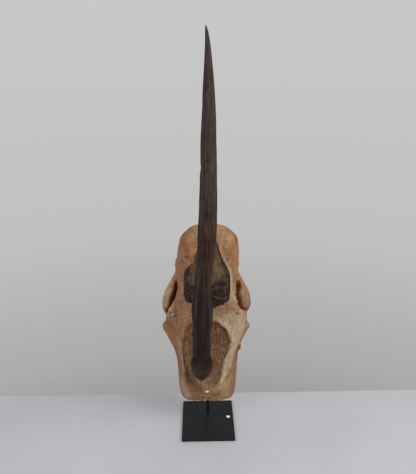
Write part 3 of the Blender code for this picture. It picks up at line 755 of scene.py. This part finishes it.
# %% [markdown]
# ## Depth of the hollows
#
# What stands back in hollows is found by casting short rays from every point. Where most of them
# hit bone, the point lies deep, and its colour is darkened there as painted shade.


# %% Depth of the hollows
# rays fill this share of the half ball over a point, because lower ones would graze the skin
FAN_SHARE = 0.92
RAY_START = 0.002


def hollow_share(piece, reach=0.08, rays=14):
    """How much of what a point can see is bone near by, from 0 to 1."""
    corners = [vert.co for vert in piece.data.vertices]
    tree = BVHTree.FromPolygons(corners, [face.vertices for face in piece.data.polygons])
    golden = math.pi * (3 - math.sqrt(5))
    fan = []
    for k in range(rays):
        up = 1 - (k + 0.5) / rays * FAN_SHARE
        ring = math.sqrt(1 - up * up)
        fan.append(Vector((ring * math.cos(golden * k), ring * math.sin(golden * k), up)))
    shares = np.zeros(len(piece.data.vertices))
    for k, vert in enumerate(piece.data.vertices):
        turn = vert.normal.to_track_quat("Z", "Y")
        start = vert.co + vert.normal * RAY_START
        blocked = 0.0
        for ray in fan:
            distance = tree.ray_cast(start, turn @ ray, reach)[3]
            if distance is not None:
                blocked += 1 - 0.5 * distance / reach
        shares[k] = blocked / rays
    return shares


def finish_surface(piece, masks):
    """Paint the masks on a piece, shade it smooth and count it."""
    for name, values in masks.items():
        paint(piece, name, values)
    pick(piece)
    bpy.ops.object.shade_smooth()
    report(piece)


hollow = hollow_share(bone)
print(f"bone near by, on average: {hollow.mean():.2f} of what a point can see")
# the right side faces the key light, so its fossa gets less painted shade and a painted pool of light
cleaned = smoothstep(0.02, 0.07, points_of(bone)[:, 0])
masks["cleaned"] = cleaned
# painted shade: darker where more bone stands near a point, and darker still in the deepest hollows
masks["hollow"] = smoothstep(0.36, 0.72, hollow) * (1 - 0.30 * cleaned)
masks["deep"] = smoothstep(0.60, 0.86, hollow) * (1 - 0.75 * cleaned)
finish_surface(bone, masks)

# %% [markdown]
# ## Old bone
#
# Bone that has lain in frozen earth takes up iron and humus: it turns from cream to ochre and
# brown, most in its pores, and stays palest where it was worn or lay dry. It is matt, with a faint
# waxy sheen on its smooth parts. The left of this skull is warmer and the ridge on its right is
# nearly cream. Painted shade darkens its hollows, pits, sideways faces and partly its left side, a
# painted pool of light lies in the right fossa, and painted highlights lie on the left arch and by
# the horns.


# %% Bone material
# Stains of groundwater are clouds of 60 mm and 22 mm, and of 14 mm in the rough seat of the horn.
# Runs down the skull are 10 mm wide and 60 mm long.
BROAD = (CLOUDS, 0.060, ROUND, 5, 0.38, 0.64)
BLOTCHES = (CLOUDS, 0.022, ROUND, 6, 0.44, 0.62)
SEAT_CLOUDS = (CLOUDS, 0.014, ROUND, 4, 0.40, 0.62)
DOWNWARD = (CLOUDS, 0.010, (1, 1, 6), 4, 0.42, 0.66)
# Real specks are 1 to 2 mm across. They are drawn coarser, at 6 and 8.5 mm, so that they show.
SPECKS = (CLOUDS, 0.0060, ROUND, 3, 0.40, 0.68)
LIGHT_SPECKS = (CLOUDS, 0.0085, ROUND, 4, 0.52, 0.68)
# The grain of weathered bone is about 0.5 mm. It is drawn coarser, at 3.5 and 1.3 mm.
BONE_GRAIN = (CLOUDS, 0.0035, ROUND, 4, 0.0, 1.0)
FINE_BONE_GRAIN = (CLOUDS, 0.0013, ROUND, 2, 0.0, 1.0)


def old_bone():
    """Iron-stained fossil bone: stains by region, cloudy ochre, dark pores, fine grain, painted shade and
    painted light.
    """
    return in_layers("Iron-stained fossil bone", "a58560", (
        # a warmer stain on the left, and painted shade away from the key light
        ("946845", 1.00, "left"),
        ("bd9e76", 0.52, BROAD),
        ("c4a67c", 0.42, LIGHT_SPECKS),
        ("7e4f2d", 0.50, BLOTCHES),
        ("80532f", 0.42, DOWNWARD),
        # painted shade on faces turned sideways
        ("7d4b27", 0.60, "side"),
        ("b27c3e", 0.78, "ochre"),
        ("74432a", 0.58, "warm"),
        ("7c5838", 0.42, "top"),
        # painted highlight on the left cheek arch
        ("c0a47f", 0.45, "arch", "left"),
        ("7f6a55", 0.50, "arch", "cleaned"),
        ("bba98d", 0.84, "pale"),
        ("8f7654", 0.52, "pale", "grain"),
        ("7e6537", 0.62, "band"),
        ("6d482c", 0.94, "patch"),
        ("936d49", 0.80, "patch", "left"),
        ("59311f", 0.85, "patch", "red"),
        ("4b2b1a", 0.50, "patch", SEAT_CLOUDS),
        ("a8835a", 0.55, "patch", "walls"),
        ("27150c", 0.70, "patch", "pores"),
        ("4a3018", 0.50, "band", "pores"),
        ("63402a", 0.36, SPECKS),
        ("4e2c1e", 0.85, "umber"),
        # dark marks, with painted shade in the pits and a painted shadow along the crest's right edge
        ("2f170c", 0.85, "dark"),
        # painted shade in the hollows, and darker painted shade in the deepest of them
        ("7b482d", 0.85, "hollow"),
        ("562c19", 0.80, "deep"),
        # painted light: a pale pool in the right fossa, where the key light falls
        ("cb9c74", 0.92, "hollow", "cleaned"),
        # pale bone, with a painted highlight beside the nose horn
        ("d8c6a0", 0.90, "bright"),
        ("d8d2da", 1.00, "chalk"),
    ), (
        (BONE_GRAIN, 0.0010),
        (FINE_BONE_GRAIN, 0.0004),
    ), {"Roughness": 0.68, "Specular IOR Level": 0.35})


bone.data.materials.append(old_bone())
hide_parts("skull")
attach(bone, "root")

# %% [markdown]
# ## The nose horn
#
# A rhinoceros horn has no bone in it. It is a bundle of horn fibres that grew side by side, so it
# splits along its length. This one is a blade: from the front it is narrow, from the side it is
# deep and curved back. It is lofted as by hand: a circle is laid on the first section, extruded to
# the next, laid on that, and so on to the tip. Its front edge is one arc, so the arc's centre also
# tells how far along the horn any point lies.

# %% Sections of the nose horn
# the front edge's foot as y and z, the tip's height, and the arc's angle at both ends
HORN_FOOT = (-0.115, 0.325)
HORN_TIP_Z = 1.536
HORN_START = math.radians(50)
HORN_END = math.radians(96)
HORN_CURVATURE = (math.cos(HORN_START) - math.cos(HORN_END)) / (HORN_TIP_Z - HORN_FOOT[1])
HORN_CENTRE = (HORN_FOOT[0] + math.sin(HORN_START) / HORN_CURVATURE,
               HORN_FOOT[1] + math.cos(HORN_START) / HORN_CURVATURE)
# the sections stand upright at the foot and have turned square to the edge at this distance
HORN_TURN_IN = 0.45
# distance along the front edge, thickness, depth, middle's x, squareness of the front, and how much
# of the thickness is left behind the swollen foot
HORN_SECTIONS = (
    (0.000, 0.0790, 0.270, -0.0270, 2.6, 0.82),
    (0.060, 0.0815, 0.235, -0.0264, 3.6, 0.77),
    (0.120, 0.0820, 0.207, -0.0262, 4.8, 0.75),
    (0.170, 0.0820, 0.185, -0.0266, 5.0, 0.73),
    (0.220, 0.0760, 0.170, -0.0268, 5.0, 0.76),
    (0.260, 0.0620, 0.161, -0.0268, 4.2, 0.91),
    (0.310, 0.0575, 0.153, -0.0266, 3.6, 1.00),
    (0.370, 0.0568, 0.146, -0.0262, 3.0, 1.00),
    (0.420, 0.0595, 0.143, -0.0243, 2.9, 1.00),
    (0.470, 0.0636, 0.140, -0.0238, 2.8, 1.00),
    (0.520, 0.0590, 0.137, -0.0231, 2.7, 1.00),
    (0.560, 0.0540, 0.134, -0.0230, 2.6, 1.00),
    (0.620, 0.0475, 0.128, -0.0220, 2.5, 1.00),
    (0.680, 0.0440, 0.122, -0.0182, 2.5, 1.00),
    (0.740, 0.0432, 0.112, -0.0156, 2.4, 1.00),
    (0.800, 0.0462, 0.103, -0.0127, 2.4, 1.00),
    (0.860, 0.0446, 0.093, -0.0105, 2.3, 1.00),
    (0.920, 0.0410, 0.084, -0.0100, 2.3, 1.00),
    (1.000, 0.0364, 0.070, -0.0098, 2.2, 1.00),
    (1.050, 0.0342, 0.063, -0.0097, 2.2, 1.00),
    (1.100, 0.0314, 0.054, -0.0094, 2.1, 1.00),
    (1.140, 0.0274, 0.047, -0.0093, 2.1, 1.00),
    (1.180, 0.0237, 0.038, -0.0095, 2.1, 1.00),
    (1.210, 0.0203, 0.033, -0.0095, 2.1, 1.00),
    (1.240, 0.0157, 0.025, -0.0100, 2.0, 1.00),
    (1.265, 0.0112, 0.018, -0.0110, 2.0, 1.00),
    (1.288, 0.0065, 0.011, -0.0130, 2.0, 1.00),
    (1.300, 0.0020, 0.003, -0.0150, 2.0, 1.00),
)
# the swollen foot is this deep, loses this much per metre along the horn, and fades out over this
SWELL_BEHIND = 0.034
SWELL_FALL = 0.10
SWELL_FADE = 0.020
# the foot goes on this far into the bone
FOOT_SUNK = 0.012
# rings between two sections, and points round each ring
HORN_STEPS = 10
HORN_ROUND = 112


def horn_edge(distance):
    """Angle of the front edge at a distance along it, and its y and z."""
    angle = HORN_START + HORN_CURVATURE * distance
    return (angle, HORN_CENTRE[0] - math.sin(angle) / HORN_CURVATURE,
            HORN_CENTRE[1] - math.cos(angle) / HORN_CURVATURE)


def oval(middle_x, lower, upper, half_width, lower_squareness, count, upper_squareness=2.1):
    """Points of a section between its lower and its upper edge, each given as y and z."""
    ring = []
    for k in range(count):
        angle = math.tau * k / count
        power = 2 / (lower_squareness if math.sin(angle) < 0 else upper_squareness)
        across = math.copysign(abs(math.cos(angle)) ** power, math.cos(angle))
        along = math.copysign(abs(math.sin(angle)) ** power, math.sin(angle))
        ring.append(Vector((
            middle_x + half_width * across,
            (lower[0] + upper[0]) / 2 + (upper[0] - lower[0]) / 2 * along,
            (lower[1] + upper[1]) / 2 + (upper[1] - lower[1]) / 2 * along,
        )))
    return ring


def smooth_rows(rows, steps):
    """The rows given, with steps rows for each on smooth curves through them."""
    rows = np.array(rows, float)
    padded = np.vstack((rows[:1], rows, rows[-1:]))
    out = []
    for before, start, end, after in zip(padded, padded[1:], padded[2:], padded[3:]):
        bend = 2 * before - 5 * start + 4 * end - after
        twist = 3 * start - before - 3 * end + after
        for t in np.arange(steps) / steps:
            out.append(0.5 * (2 * start + (end - before) * t + bend * t**2 + twist * t**3))
    return [tuple(row) for row in out] + [tuple(rows[-1])]


def loft(name, rings):
    """Lay a circle on the first ring, extrude it from ring to ring and close both ends."""
    bpy.ops.mesh.primitive_circle_add(vertices=len(rings[0]), fill_type="NGON")
    piece = bpy.context.object
    piece.name = name
    pick(piece)
    bpy.ops.object.mode_set(mode="EDIT")
    mesh = bmesh.from_edit_mesh(piece.data)
    for number, ring in enumerate(rings):
        if number:
            bpy.ops.mesh.extrude_region_move()
            mesh = bmesh.from_edit_mesh(piece.data)
        chosen = [vert for vert in mesh.verts if vert.select]
        if number == 0:
            order = {vert: k for k, vert in enumerate(chosen)}
        else:
            order = {}
            for vert in chosen:
                below = next(e.other_vert(vert) for e in vert.link_edges if not e.other_vert(vert).select)
                order[vert] = placed[below]
        for vert, k in order.items():
            vert.co = ring[k]
        placed = order
        bmesh.update_edit_mesh(piece.data)
    bpy.ops.mesh.select_all(action="SELECT")
    bpy.ops.mesh.normals_make_consistent(inside=False)
    bpy.ops.object.mode_set(mode="OBJECT")
    return piece


# %% Loft the nose horn
def nose_horn_rings():
    """Sections of the horn, started inside the bone so that it stands in its seat."""
    rings = []
    for distance, thickness, depth, middle_x, squareness, kept in smooth_rows(HORN_SECTIONS, HORN_STEPS):
        angle, y, z = horn_edge(distance)
        tilt = angle * float(smoothstep(0, HORN_TURN_IN, distance))
        back = (y + depth * math.sin(tilt), z + depth * math.cos(tilt))
        ring = oval(middle_x, (y, z), back, thickness / 2, squareness, HORN_ROUND)
        for point in ring:
            behind = math.hypot(point.y - y, point.z - z) - (SWELL_BEHIND - SWELL_FALL * distance)
            width_left = 1 - (1 - kept) * float(smoothstep(0, SWELL_FADE, behind))
            point.x = middle_x + (point.x - middle_x) * width_left
        rings.append(ring)
    foot = [Vector((p.x, p.y + FOOT_SUNK, p.z)) for p in rings[0]]
    return [foot, *rings]


nose_horn = loft("nose_horn", nose_horn_rings())
report(nose_horn)

# %% [markdown]
# ## Fibres and growth bands
#
# Fibres show as grooves along the horn. Their pattern is read from the angle round the section, so
# that it runs on from foot to tip. Slow swellings across it are seasons of growth. Splinters have
# left shallow hollows, and the corners of the blade's blunt front edge stand out as two thin ridges.


# %% Groove the nose horn
# distances along the front edge: where a form starts, is full, is full until, and ends
RIDGED_CORNERS = (0.32, 0.44, 0.66, 0.76)
FULL_RIGHT_SIDE = (0.60, 0.75, 1.15, 1.25)
DARK_PART = (0.08, 0.24, 0.35, 0.75)
# heights and depths in metres
COARSE_GROOVES = 0.0013
FINE_GROOVES = 0.0008
GROWTH_BANDS = 0.0010
LOST_SPLINTERS = 0.0018
RIGHT_SIDE_RISE = 0.0018
CORNER_RIDGES = 0.0010
CHIN_DROP = 0.0050
# a nick in the left edge near the tip: its distance along the horn, half width and depth
NICK_AT = 0.998
NICK_HALF_WIDTH = 0.010
NICK_DEPTH = 0.0019


def along_horn(points):
    """Distance along the horn, depth behind its front edge, of each point."""
    dy, dz = points[:, 1] - HORN_CENTRE[0], points[:, 2] - HORN_CENTRE[1]
    distance = (np.arctan2(-dy, -dz) - HORN_START) / HORN_CURVATURE
    return distance, 1 / HORN_CURVATURE - np.hypot(dy, dz)


def horn_middle(distance):
    """The horn's middle x, half thickness and depth at a distance."""
    rows = np.array(HORN_SECTIONS)
    return (np.interp(distance, rows[:, 0], rows[:, 3]), np.interp(distance, rows[:, 0], rows[:, 1]) / 2,
            np.interp(distance, rows[:, 0], rows[:, 2]))


def groove_nose_horn(piece):
    """Fibres, bands, splinters, a nick and corner ridges. Returns the masks for the material."""
    points, normals = points_of(piece), normals_of(piece)
    distance, behind = along_horn(points)
    middle, half, depth = horn_middle(distance)
    across = (points[:, 0] - middle) / half
    back = behind / depth - 0.5
    turn = np.arctan2(back * 2, across)
    size = np.clip(half / 0.036, 0.15, 1.0)
    wrapped = np.column_stack((np.cos(turn), np.sin(turn), distance * 0.9))
    coarse = soft_noise(wrapped * (1, 1, 2.2), 0.30, 11, 3)
    fibres = soft_noise(wrapped * (1, 1, 0.9), 0.060, 12, 2)
    waves = soft_noise(np.column_stack((across * 0.35, back * 0.6, distance)) * (1, 1, 9), 0.40, 13, 3)
    lift = size * (COARSE_GROOVES * coarse + FINE_GROOVES * fibres + GROWTH_BANDS * waves)
    lost = smoothstep(0.25, 0.65, soft_noise(wrapped * (1, 1, 1.8), 0.42, 14, 2))
    lift -= LOST_SPLINTERS * size * lost
    lift -= NICK_DEPTH * bell(distance, NICK_AT, NICK_HALF_WIDTH) * smoothstep(-0.4, -0.8, across)
    fuller = RIGHT_SIDE_RISE * smoothstep(0.1, 0.5, across) * window(distance, FULL_RIGHT_SIDE)
    points = points + fuller[:, None] * (1, 0, 0)
    corner = bell(np.abs(across), 0.80, 0.055) * smoothstep(0.30, 0.05, behind / depth)
    corner *= window(distance, RIDGED_CORNERS) * (0.4 + 0.6 * smoothstep(-0.3, 0.3, waves))
    lift += CORNER_RIDGES * size * corner
    # the middle of the foot hangs a little lower than its sides
    chin = bell(across, 0, 0.30) * smoothstep(0.045, 0.0, distance) * smoothstep(0.10, 0.02, behind)
    put_points(piece, points + normals * lift[:, None] - CHIN_DROP * chin[:, None] * (0, 0, 1))
    flow = np.column_stack((across * half, back * depth, distance))
    layer = piece.data.attributes.new("flow", "FLOAT_VECTOR", "POINT")
    layer.data.foreach_set("vector", flow.astype(np.float32).ravel())
    return {
        # the front corners get a painted highlight
        "crack": smoothstep(-0.08, -0.55, fibres), "worn": lost, "corner": corner,
        # painted shade on the blade's flanks
        "side": smoothstep(0.80, 0.97, np.abs(across)), "low": window(distance, DARK_PART),
        "upper": smoothstep(0.60, 0.70, distance), "bulb": smoothstep(0.24, 0.12, distance),
        "top": smoothstep(0.80, 1.00, distance),
    }


finish_surface(nose_horn, groove_nose_horn(nose_horn))

# %% [markdown]
# ## Aged horn
#
# Horn is keratin, the stuff of hair and hooves. After thousands of years in the ground it is nearly
# black, red brown where fibres have split off, and grey with dust in patches. Where light falls on its
# front corners they carry painted highlights, and its flanks are darkened with painted shade. It keeps
# only a dull sheen. The patterns are read from the distance along the horn, so that every streak
# follows the curve of the blade.


# %% Nose horn material
# A fibre of horn is about 0.5 mm thick. Fibres are drawn coarser, as bundles 6 mm wide and 144 mm
# long, and splits between bundles as streaks 13 mm wide and 156 mm long.
HAIRS = (CLOUDS, 0.0060, (1, 1, 24), 3, 0.40, 0.64)
SPLITS = (CLOUDS, 0.013, (1, 1, 12), 4, 0.46, 0.62)
# earth clings in patches 30 mm wide and 66 mm long, and dust in patches of 20 by 60 mm
GRIMY = (CLOUDS, 0.030, (1, 1, 2.2), 5, 0.50, 0.66)
DUSTY = (CLOUDS, 0.020, (1, 1, 3), 6, 0.46, 0.70)
# fibre ends on the upper horn are under 1 mm, and are drawn coarser, 4 to 5.5 mm wide
STIPPLE = (CLOUDS, 0.0040, (1, 1, 5), 4, 0.42, 0.62)
FINE = (CLOUDS, 0.0055, (1, 1, 2.5), 4, 0.46, 0.66)
# grooves between fibres are drawn 2.2 mm wide, and pits 5 mm
FIBRE_GROOVES = (CLOUDS, 0.0022, (1, 1, 30), 3, 0.0, 1.0)
SMALL_PITS = (CLOUDS, 0.0050, (1, 1, 2), 3, 0.0, 1.0)


def dark_horn():
    """Old keratin: near black, red brown where fibres have worn off, a dull sheen, painted shade on the
    flanks and painted highlights on the front corners.
    """
    return in_layers("Aged keratin", "1d1512", (
        ("38281f", 0.80, HAIRS),
        ("432415", 0.42, SPLITS),
        ("5f4022", 0.52, GRIMY, "upper"),
        ("52443b", 0.30, STIPPLE, "upper"),
        ("483e3b", 0.55, "top"),
        ("241c19", 0.50, FINE, "top"),
        ("453b35", 0.30, DUSTY),
        ("54402f", 0.40, "worn"),
        ("181210", 0.55, "low"),
        ("4d413b", 0.42, "bulb"),
        # painted shade on the blade's flanks
        ("0a0807", 0.85, "side"),
        # painted highlight along the front corners
        ("453d39", 0.55, "corner"),
        ("0c0908", 0.65, "crack"),
    ), (
        (FIBRE_GROOVES, 0.0008),
        (SMALL_PITS, 0.0006),
    ), {"Roughness": 0.72, "IOR": 1.40, "Specular IOR Level": 0.12}, follows="flow")


nose_horn.data.materials.append(dark_horn())
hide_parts("front_horn")
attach(nose_horn, "root")

# %% [markdown]
# ## The forehead horn
#
# The second horn is short and broad, with a ragged foot that ends higher at its sides, and its left
# shoulder is worn away. It is lofted in the same way, from fewer sections, and its grooves run up
# from the foot towards the tip.

# %% Loft the forehead horn
# lower edge y, z, upper edge y, z, half width, middle's x
FOREHEAD_SECTIONS = (
    (-0.090, 0.649, -0.088, 0.842, 0.077, -0.0075),
    (-0.134, 0.652, -0.116, 0.852, 0.079, -0.0075),
    (-0.159, 0.674, -0.130, 0.862, 0.077, -0.0070),
    (-0.173, 0.717, -0.140, 0.874, 0.064, -0.0050),
    (-0.183, 0.775, -0.150, 0.890, 0.051, -0.0035),
    (-0.190, 0.835, -0.160, 0.909, 0.040, -0.0020),
    (-0.195, 0.888, -0.170, 0.931, 0.029, -0.0010),
    (-0.198, 0.932, -0.180, 0.955, 0.018, -0.0010),
    (-0.196, 0.966, -0.189, 0.971, 0.004, -0.0010),
)
FOREHEAD_STEPS = 12
FOREHEAD_ROUND = 120
# the lower edge is nearly square at the foot and loses most of that higher up
FOOT_SQUARENESS = 5.0
SQUARENESS_LOST = 2.6


def forehead_rings():
    """Sections of the forehead horn."""
    rings = []
    for row in smooth_rows(FOREHEAD_SECTIONS, FOREHEAD_STEPS):
        lower_y, lower_z, upper_y, upper_z, half_width, middle_x = row
        lower, upper = (lower_y, lower_z), (upper_y, upper_z)
        squareness = FOOT_SQUARENESS - SQUARENESS_LOST * float(smoothstep(0.66, 0.75, lower_z))
        rings.append(oval(middle_x, lower, upper, half_width, squareness, FOREHEAD_ROUND))
    return rings


forehead_horn = loft("forehead_horn", forehead_rings())
report(forehead_horn)


# %% Groove the forehead horn
FOREHEAD_TIP = Vector((-0.001, -0.193, 0.972))
FOREHEAD_MIDDLE_X = -0.0075
FOREHEAD_FOOT_Z = 0.70
# the worn left shoulder: its heights, the x it starts at, and the share of the width it has lost
SHOULDER_HEIGHTS = (0.778, 0.815, 0.838, 0.868)
SHOULDER_FROM = -0.020
SHOULDER_LOSS = 0.37
# how much higher the foot ends towards its left and right side, and at its right corner besides
FOOT_RISE_LEFT = 0.020
FOOT_RISE_RIGHT = 0.012
FOOT_RISE_CORNER = 0.006
# the khaki colour starts at this height and is full at the next, and reaches lower in one streak
KHAKI_FROM = 0.786
KHAKI_FULL = 0.828
STREAK_X = -0.048
STREAK_HALF_WIDTH = 0.016
STREAK_REACH = 0.022


def groove_forehead_horn(piece):
    """Fibres that run towards the tip, wrinkles, the ragged, raised foot and the worn shoulder."""
    points, normals = points_of(piece), normals_of(piece)
    away = points - np.array(FOREHEAD_TIP)
    reach = np.linalg.norm(away, axis=1)
    heading = away / reach[:, None]
    fan = np.column_stack((heading[:, 0] * 3.2, heading[:, 1] * 3.2, reach * 1.6))
    coarse = soft_noise(fan, 0.38, 21, 3)
    fibres = soft_noise(fan * (2.2, 2.2, 0.8), 0.20, 22, 3)
    wrinkles = soft_noise(points * (0.35, 0.35, 1), 0.008, 26, 2)
    foot = smoothstep(FOREHEAD_FOOT_Z + 0.03, FOREHEAD_FOOT_Z - 0.02, points[:, 2])
    lift = 0.0024 * coarse + 0.0014 * fibres + 0.0016 * soft_noise(points, 0.030, 23, 3)
    lift += 0.0009 * wrinkles * smoothstep(0.74, 0.80, points[:, 2])
    lift += foot * 0.0036 * soft_noise(points, 0.013, 24, 3)
    low = smoothstep(0.720, 0.660, points[:, 2])
    off = points[:, 0] - FOREHEAD_MIDDLE_X
    raised = np.where(off < 0, FOOT_RISE_LEFT, FOOT_RISE_RIGHT) * smoothstep(0.010, 0.045, np.abs(off))
    raised += FOOT_RISE_CORNER * smoothstep(0.055, 0.070, off)
    worn_width = np.maximum(SHOULDER_FROM - points[:, 0], 0)
    drawn_in = SHOULDER_LOSS * window(points[:, 2], SHOULDER_HEIGHTS) * worn_width
    points = points + np.column_stack((drawn_in, 0 * low, low * raised))
    put_points(piece, points + normals * lift[:, None])
    wander = 0.026 * soft_noise(points, 0.040, 25, 3) + 0.012 * coarse
    left_streak = STREAK_REACH * bell(points[:, 0], STREAK_X, STREAK_HALF_WIDTH)
    # painted shade on faces turned sideways, twice as strong on the right
    edge = smoothstep(0.72, 0.97, np.abs(normals[:, 0])) * np.where(normals[:, 0] > 0, 1.0, 0.5)
    return {
        "khaki": smoothstep(KHAKI_FROM, KHAKI_FULL, points[:, 2] + wander + left_streak),
        "crack": smoothstep(0.0, -0.45, fibres), "wrinkle": smoothstep(0.05, 0.45, wrinkles),
        "tip": smoothstep(0.845, 0.925, points[:, 2]), "edge": edge,
    }


finish_surface(forehead_horn, groove_forehead_horn(forehead_horn))

# %% [markdown]
# ## Dried horn
#
# The upper part of the forehead horn has dried to a khaki brown with fine wrinkles across it, and
# its foot is still black with brown flecks. Both are the same horn, so one material goes from the
# one to the other by a mask whose edge wanders. Its flanks are darkened with painted shade. It is as
# dull as the nose horn.


# %% Forehead horn material
# flecks are 15 mm across, as worn patches on the real foot are
FLECKS = (CLOUDS, 0.015, ROUND, 5, 0.46, 0.62)
# Fibres of 0.5 mm and wrinkles of 1 mm are drawn coarser: streaks 6 mm wide and 42 mm high, and
# wrinkles 4 mm high and 20 mm wide.
UPWARD = (CLOUDS, 0.0060, (1, 1, 7), 4, 0.40, 0.66)
LEVEL = (CLOUDS, 0.0040, (5, 1, 1), 4, 0.44, 0.62)
SHORT_GROOVES = (CLOUDS, 0.0022, (1, 1, 8), 3, 0.0, 1.0)


def khaki_horn():
    """Dried keratin: khaki brown towards the tip, black with brown flecks at the foot, painted shade on
    the flanks.
    """
    return in_layers("Dried keratin", "2b2420", (
        ("5f4a34", 0.75, FLECKS),
        ("735c42", 0.92, "khaki"),
        ("86694a", 0.50, "khaki", UPWARD),
        ("453526", 0.60, "khaki", LEVEL),
        ("40301f", 0.60, "khaki", "wrinkle"),
        ("15110e", 0.38, "crack"),
        ("3a2e24", 0.55, "tip"),
        # painted shade on the horn's flanks
        ("16110f", 0.85, "edge"),
    ), (
        (SHORT_GROOVES, 0.0009),
    ), {"Roughness": 0.72, "IOR": 1.40, "Specular IOR Level": 0.12})


forehead_horn.data.materials.append(khaki_horn())
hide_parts("rear_horn")
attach(forehead_horn, "root")

# %% [markdown]
# ## The cheek teeth
#
# Each upper cheek tooth is a block with a thick wall of enamel on the outside and two cross ridges
# that run in from it, with a valley and a pit between them. A cube is subdivided into a fine block,
# rounded, and its biting face is sunk everywhere but along those ridges.

# %% Model the teeth
TOOTH_CUTS = 22
# how deep the biting face is worn between its ridges
WEAR_DEPTH = 0.0075
RIDGE_SLANT = 0.20


def enamel_height(u, v):
    """Height of the biting face from 0 to 1, u across from cheek to tongue, v along the row."""
    rim = np.maximum(np.abs(u), np.abs(v))
    slant = RIDGE_SLANT * (u + 1) / 2
    outer_wall = bell(u, -0.78 - 0.07 * np.cos(5.2 * v), 0.13)
    front_ridge = bell(v, slant - 0.62, 0.15) * smoothstep(1.0, 0.75, u)
    back_ridge = bell(v, slant + 0.42, 0.15) * smoothstep(0.98, 0.70, u)
    back_wall = bell(v, 0.92, 0.09) * smoothstep(0.6, 0.2, u)
    pillar = bell(u, -0.2, 0.13) * bell(v, 0.02, 0.12) * 0.85
    height = np.maximum.reduce([outer_wall, front_ridge, back_ridge, back_wall, pillar])
    return height * smoothstep(1.02, 0.90, rim)


def model_tooth(node, name):
    """One tooth in its packed block's place, with its biting face worn down between the ridges."""
    low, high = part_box(node)
    size, middle = high - low, (high + low) / 2
    bpy.ops.mesh.primitive_cube_add(size=2)
    tooth = bpy.context.object
    tooth.name = name
    pick(tooth)
    bpy.ops.object.mode_set(mode="EDIT")
    bpy.ops.mesh.subdivide(number_cuts=TOOTH_CUTS)
    bpy.ops.object.mode_set(mode="OBJECT")
    unit = points_of(tooth)
    cheek = 1 if middle.x > 0 else -1
    u, depth, v = -unit[:, 0] * cheek, unit[:, 1], unit[:, 2]
    ridge = enamel_height(u, v)
    round_off = 1 / np.maximum(1.0, (np.abs(unit[:, 0]) ** 5 + np.abs(unit[:, 2]) ** 5) ** 0.2)
    waist = 1 - 0.05 * smoothstep(0.2, -1.0, depth)
    groove = 1 - 0.07 * bell(v, 0, 0.16) * smoothstep(0.5, 0.95, u)
    face = smoothstep(0.72, 1.0, depth)
    points = np.column_stack((
        middle.x + unit[:, 0] * round_off * waist * groove * size.x / 2,
        middle.y + depth * size.y / 2 - face * (1 - ridge) * WEAR_DEPTH,
        middle.z + unit[:, 2] * round_off * waist * size.z / 2,
    ))
    points += normals_of(tooth) * (0.0004 * soft_noise(points, 0.006, 31, 2))[:, None]
    put_points(tooth, points)
    finish_surface(tooth, {"enamel": np.maximum(ridge * face, 1 - face)})
    return tooth


# %% [markdown]
# ## Enamel and dentine
#
# Enamel is glassy and hard. It stands up in pale ridges with a soft gloss, while the dentine between
# them wears down and takes a dull brown stain. One mask from the tooth's shape tells the two apart.


# %% Dress the teeth
# Brown stains on enamel are 9 mm across. Scratches under 0.2 mm are drawn coarser, at 2 by 8 mm.
ENAMEL_STAINS = (CLOUDS, 0.009, ROUND, 4, 0.38, 0.66)
SCRATCHES = (CLOUDS, 0.002, (1, 4, 1), 3, 0.0, 1.0)


def worn_enamel():
    """Glassy enamel on ridges and walls, dull brown dentine in the sunk parts."""
    return in_layers("Stained enamel", "4c3421", (
        ("b39a74", 1.0, "enamel"),
        ("7f6142", 0.9, "enamel", ENAMEL_STAINS),
    ), (
        (SCRATCHES, 0.0003),
    ), {"Roughness": 0.38, "IOR": 1.62})


enamel_material = worn_enamel()
for node in sorted(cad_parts):
    if node.startswith("tooth_"):
        tooth = model_tooth(node, node.replace("tooth", "enamel"))
        tooth.data.materials.append(enamel_material)
        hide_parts(node)
        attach(tooth, "root")

# %% [markdown]
# ## The stand
#
# A square plate of mild steel with a rod welded upright on it, brushed and sprayed satin black, and
# a small white card stuck to the plate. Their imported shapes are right, so they keep them and only
# get their finishes.


# %% Stand materials
# dust lies in clouds of 20 mm, and the orange peel of sprayed paint is 1.5 mm, as on a real coat
DUST = (CLOUDS, 0.02, ROUND, 6, 0.48, 0.75)
ORANGE_PEEL = (CLOUDS, 0.0015, ROUND, 2, 0.0, 1.0)
# fibres of card are under 1 mm, and are drawn coarser, at 3 mm
CARD_FIBRES = (CLOUDS, 0.003, ROUND, 4, 0.3, 0.7)


def satin_black():
    """Satin black spray paint on steel: even, with a faint orange peel and some dust."""
    return in_layers("Satin black paint on steel", "131416", (
        ("212224", 0.5, DUST),
    ), (
        (ORANGE_PEEL, 0.00008),
    ), {"Roughness": 0.42, "Specular IOR Level": 0.25})


def white_card():
    """Uncoated white card: matt, with faint fibres."""
    return in_layers("White card", "e6e6e4", [("dcdcda", 1.0, CARD_FIBRES)], [], {"Roughness": 0.85})


def give(node, material):
    """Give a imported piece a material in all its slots."""
    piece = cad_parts[node]
    for slot in piece.material_slots:
        slot.material = material
    print(f"{node}: {material.name}")


black = satin_black()
give("base_plate", black)
give("rod", black)
give("label", white_card())
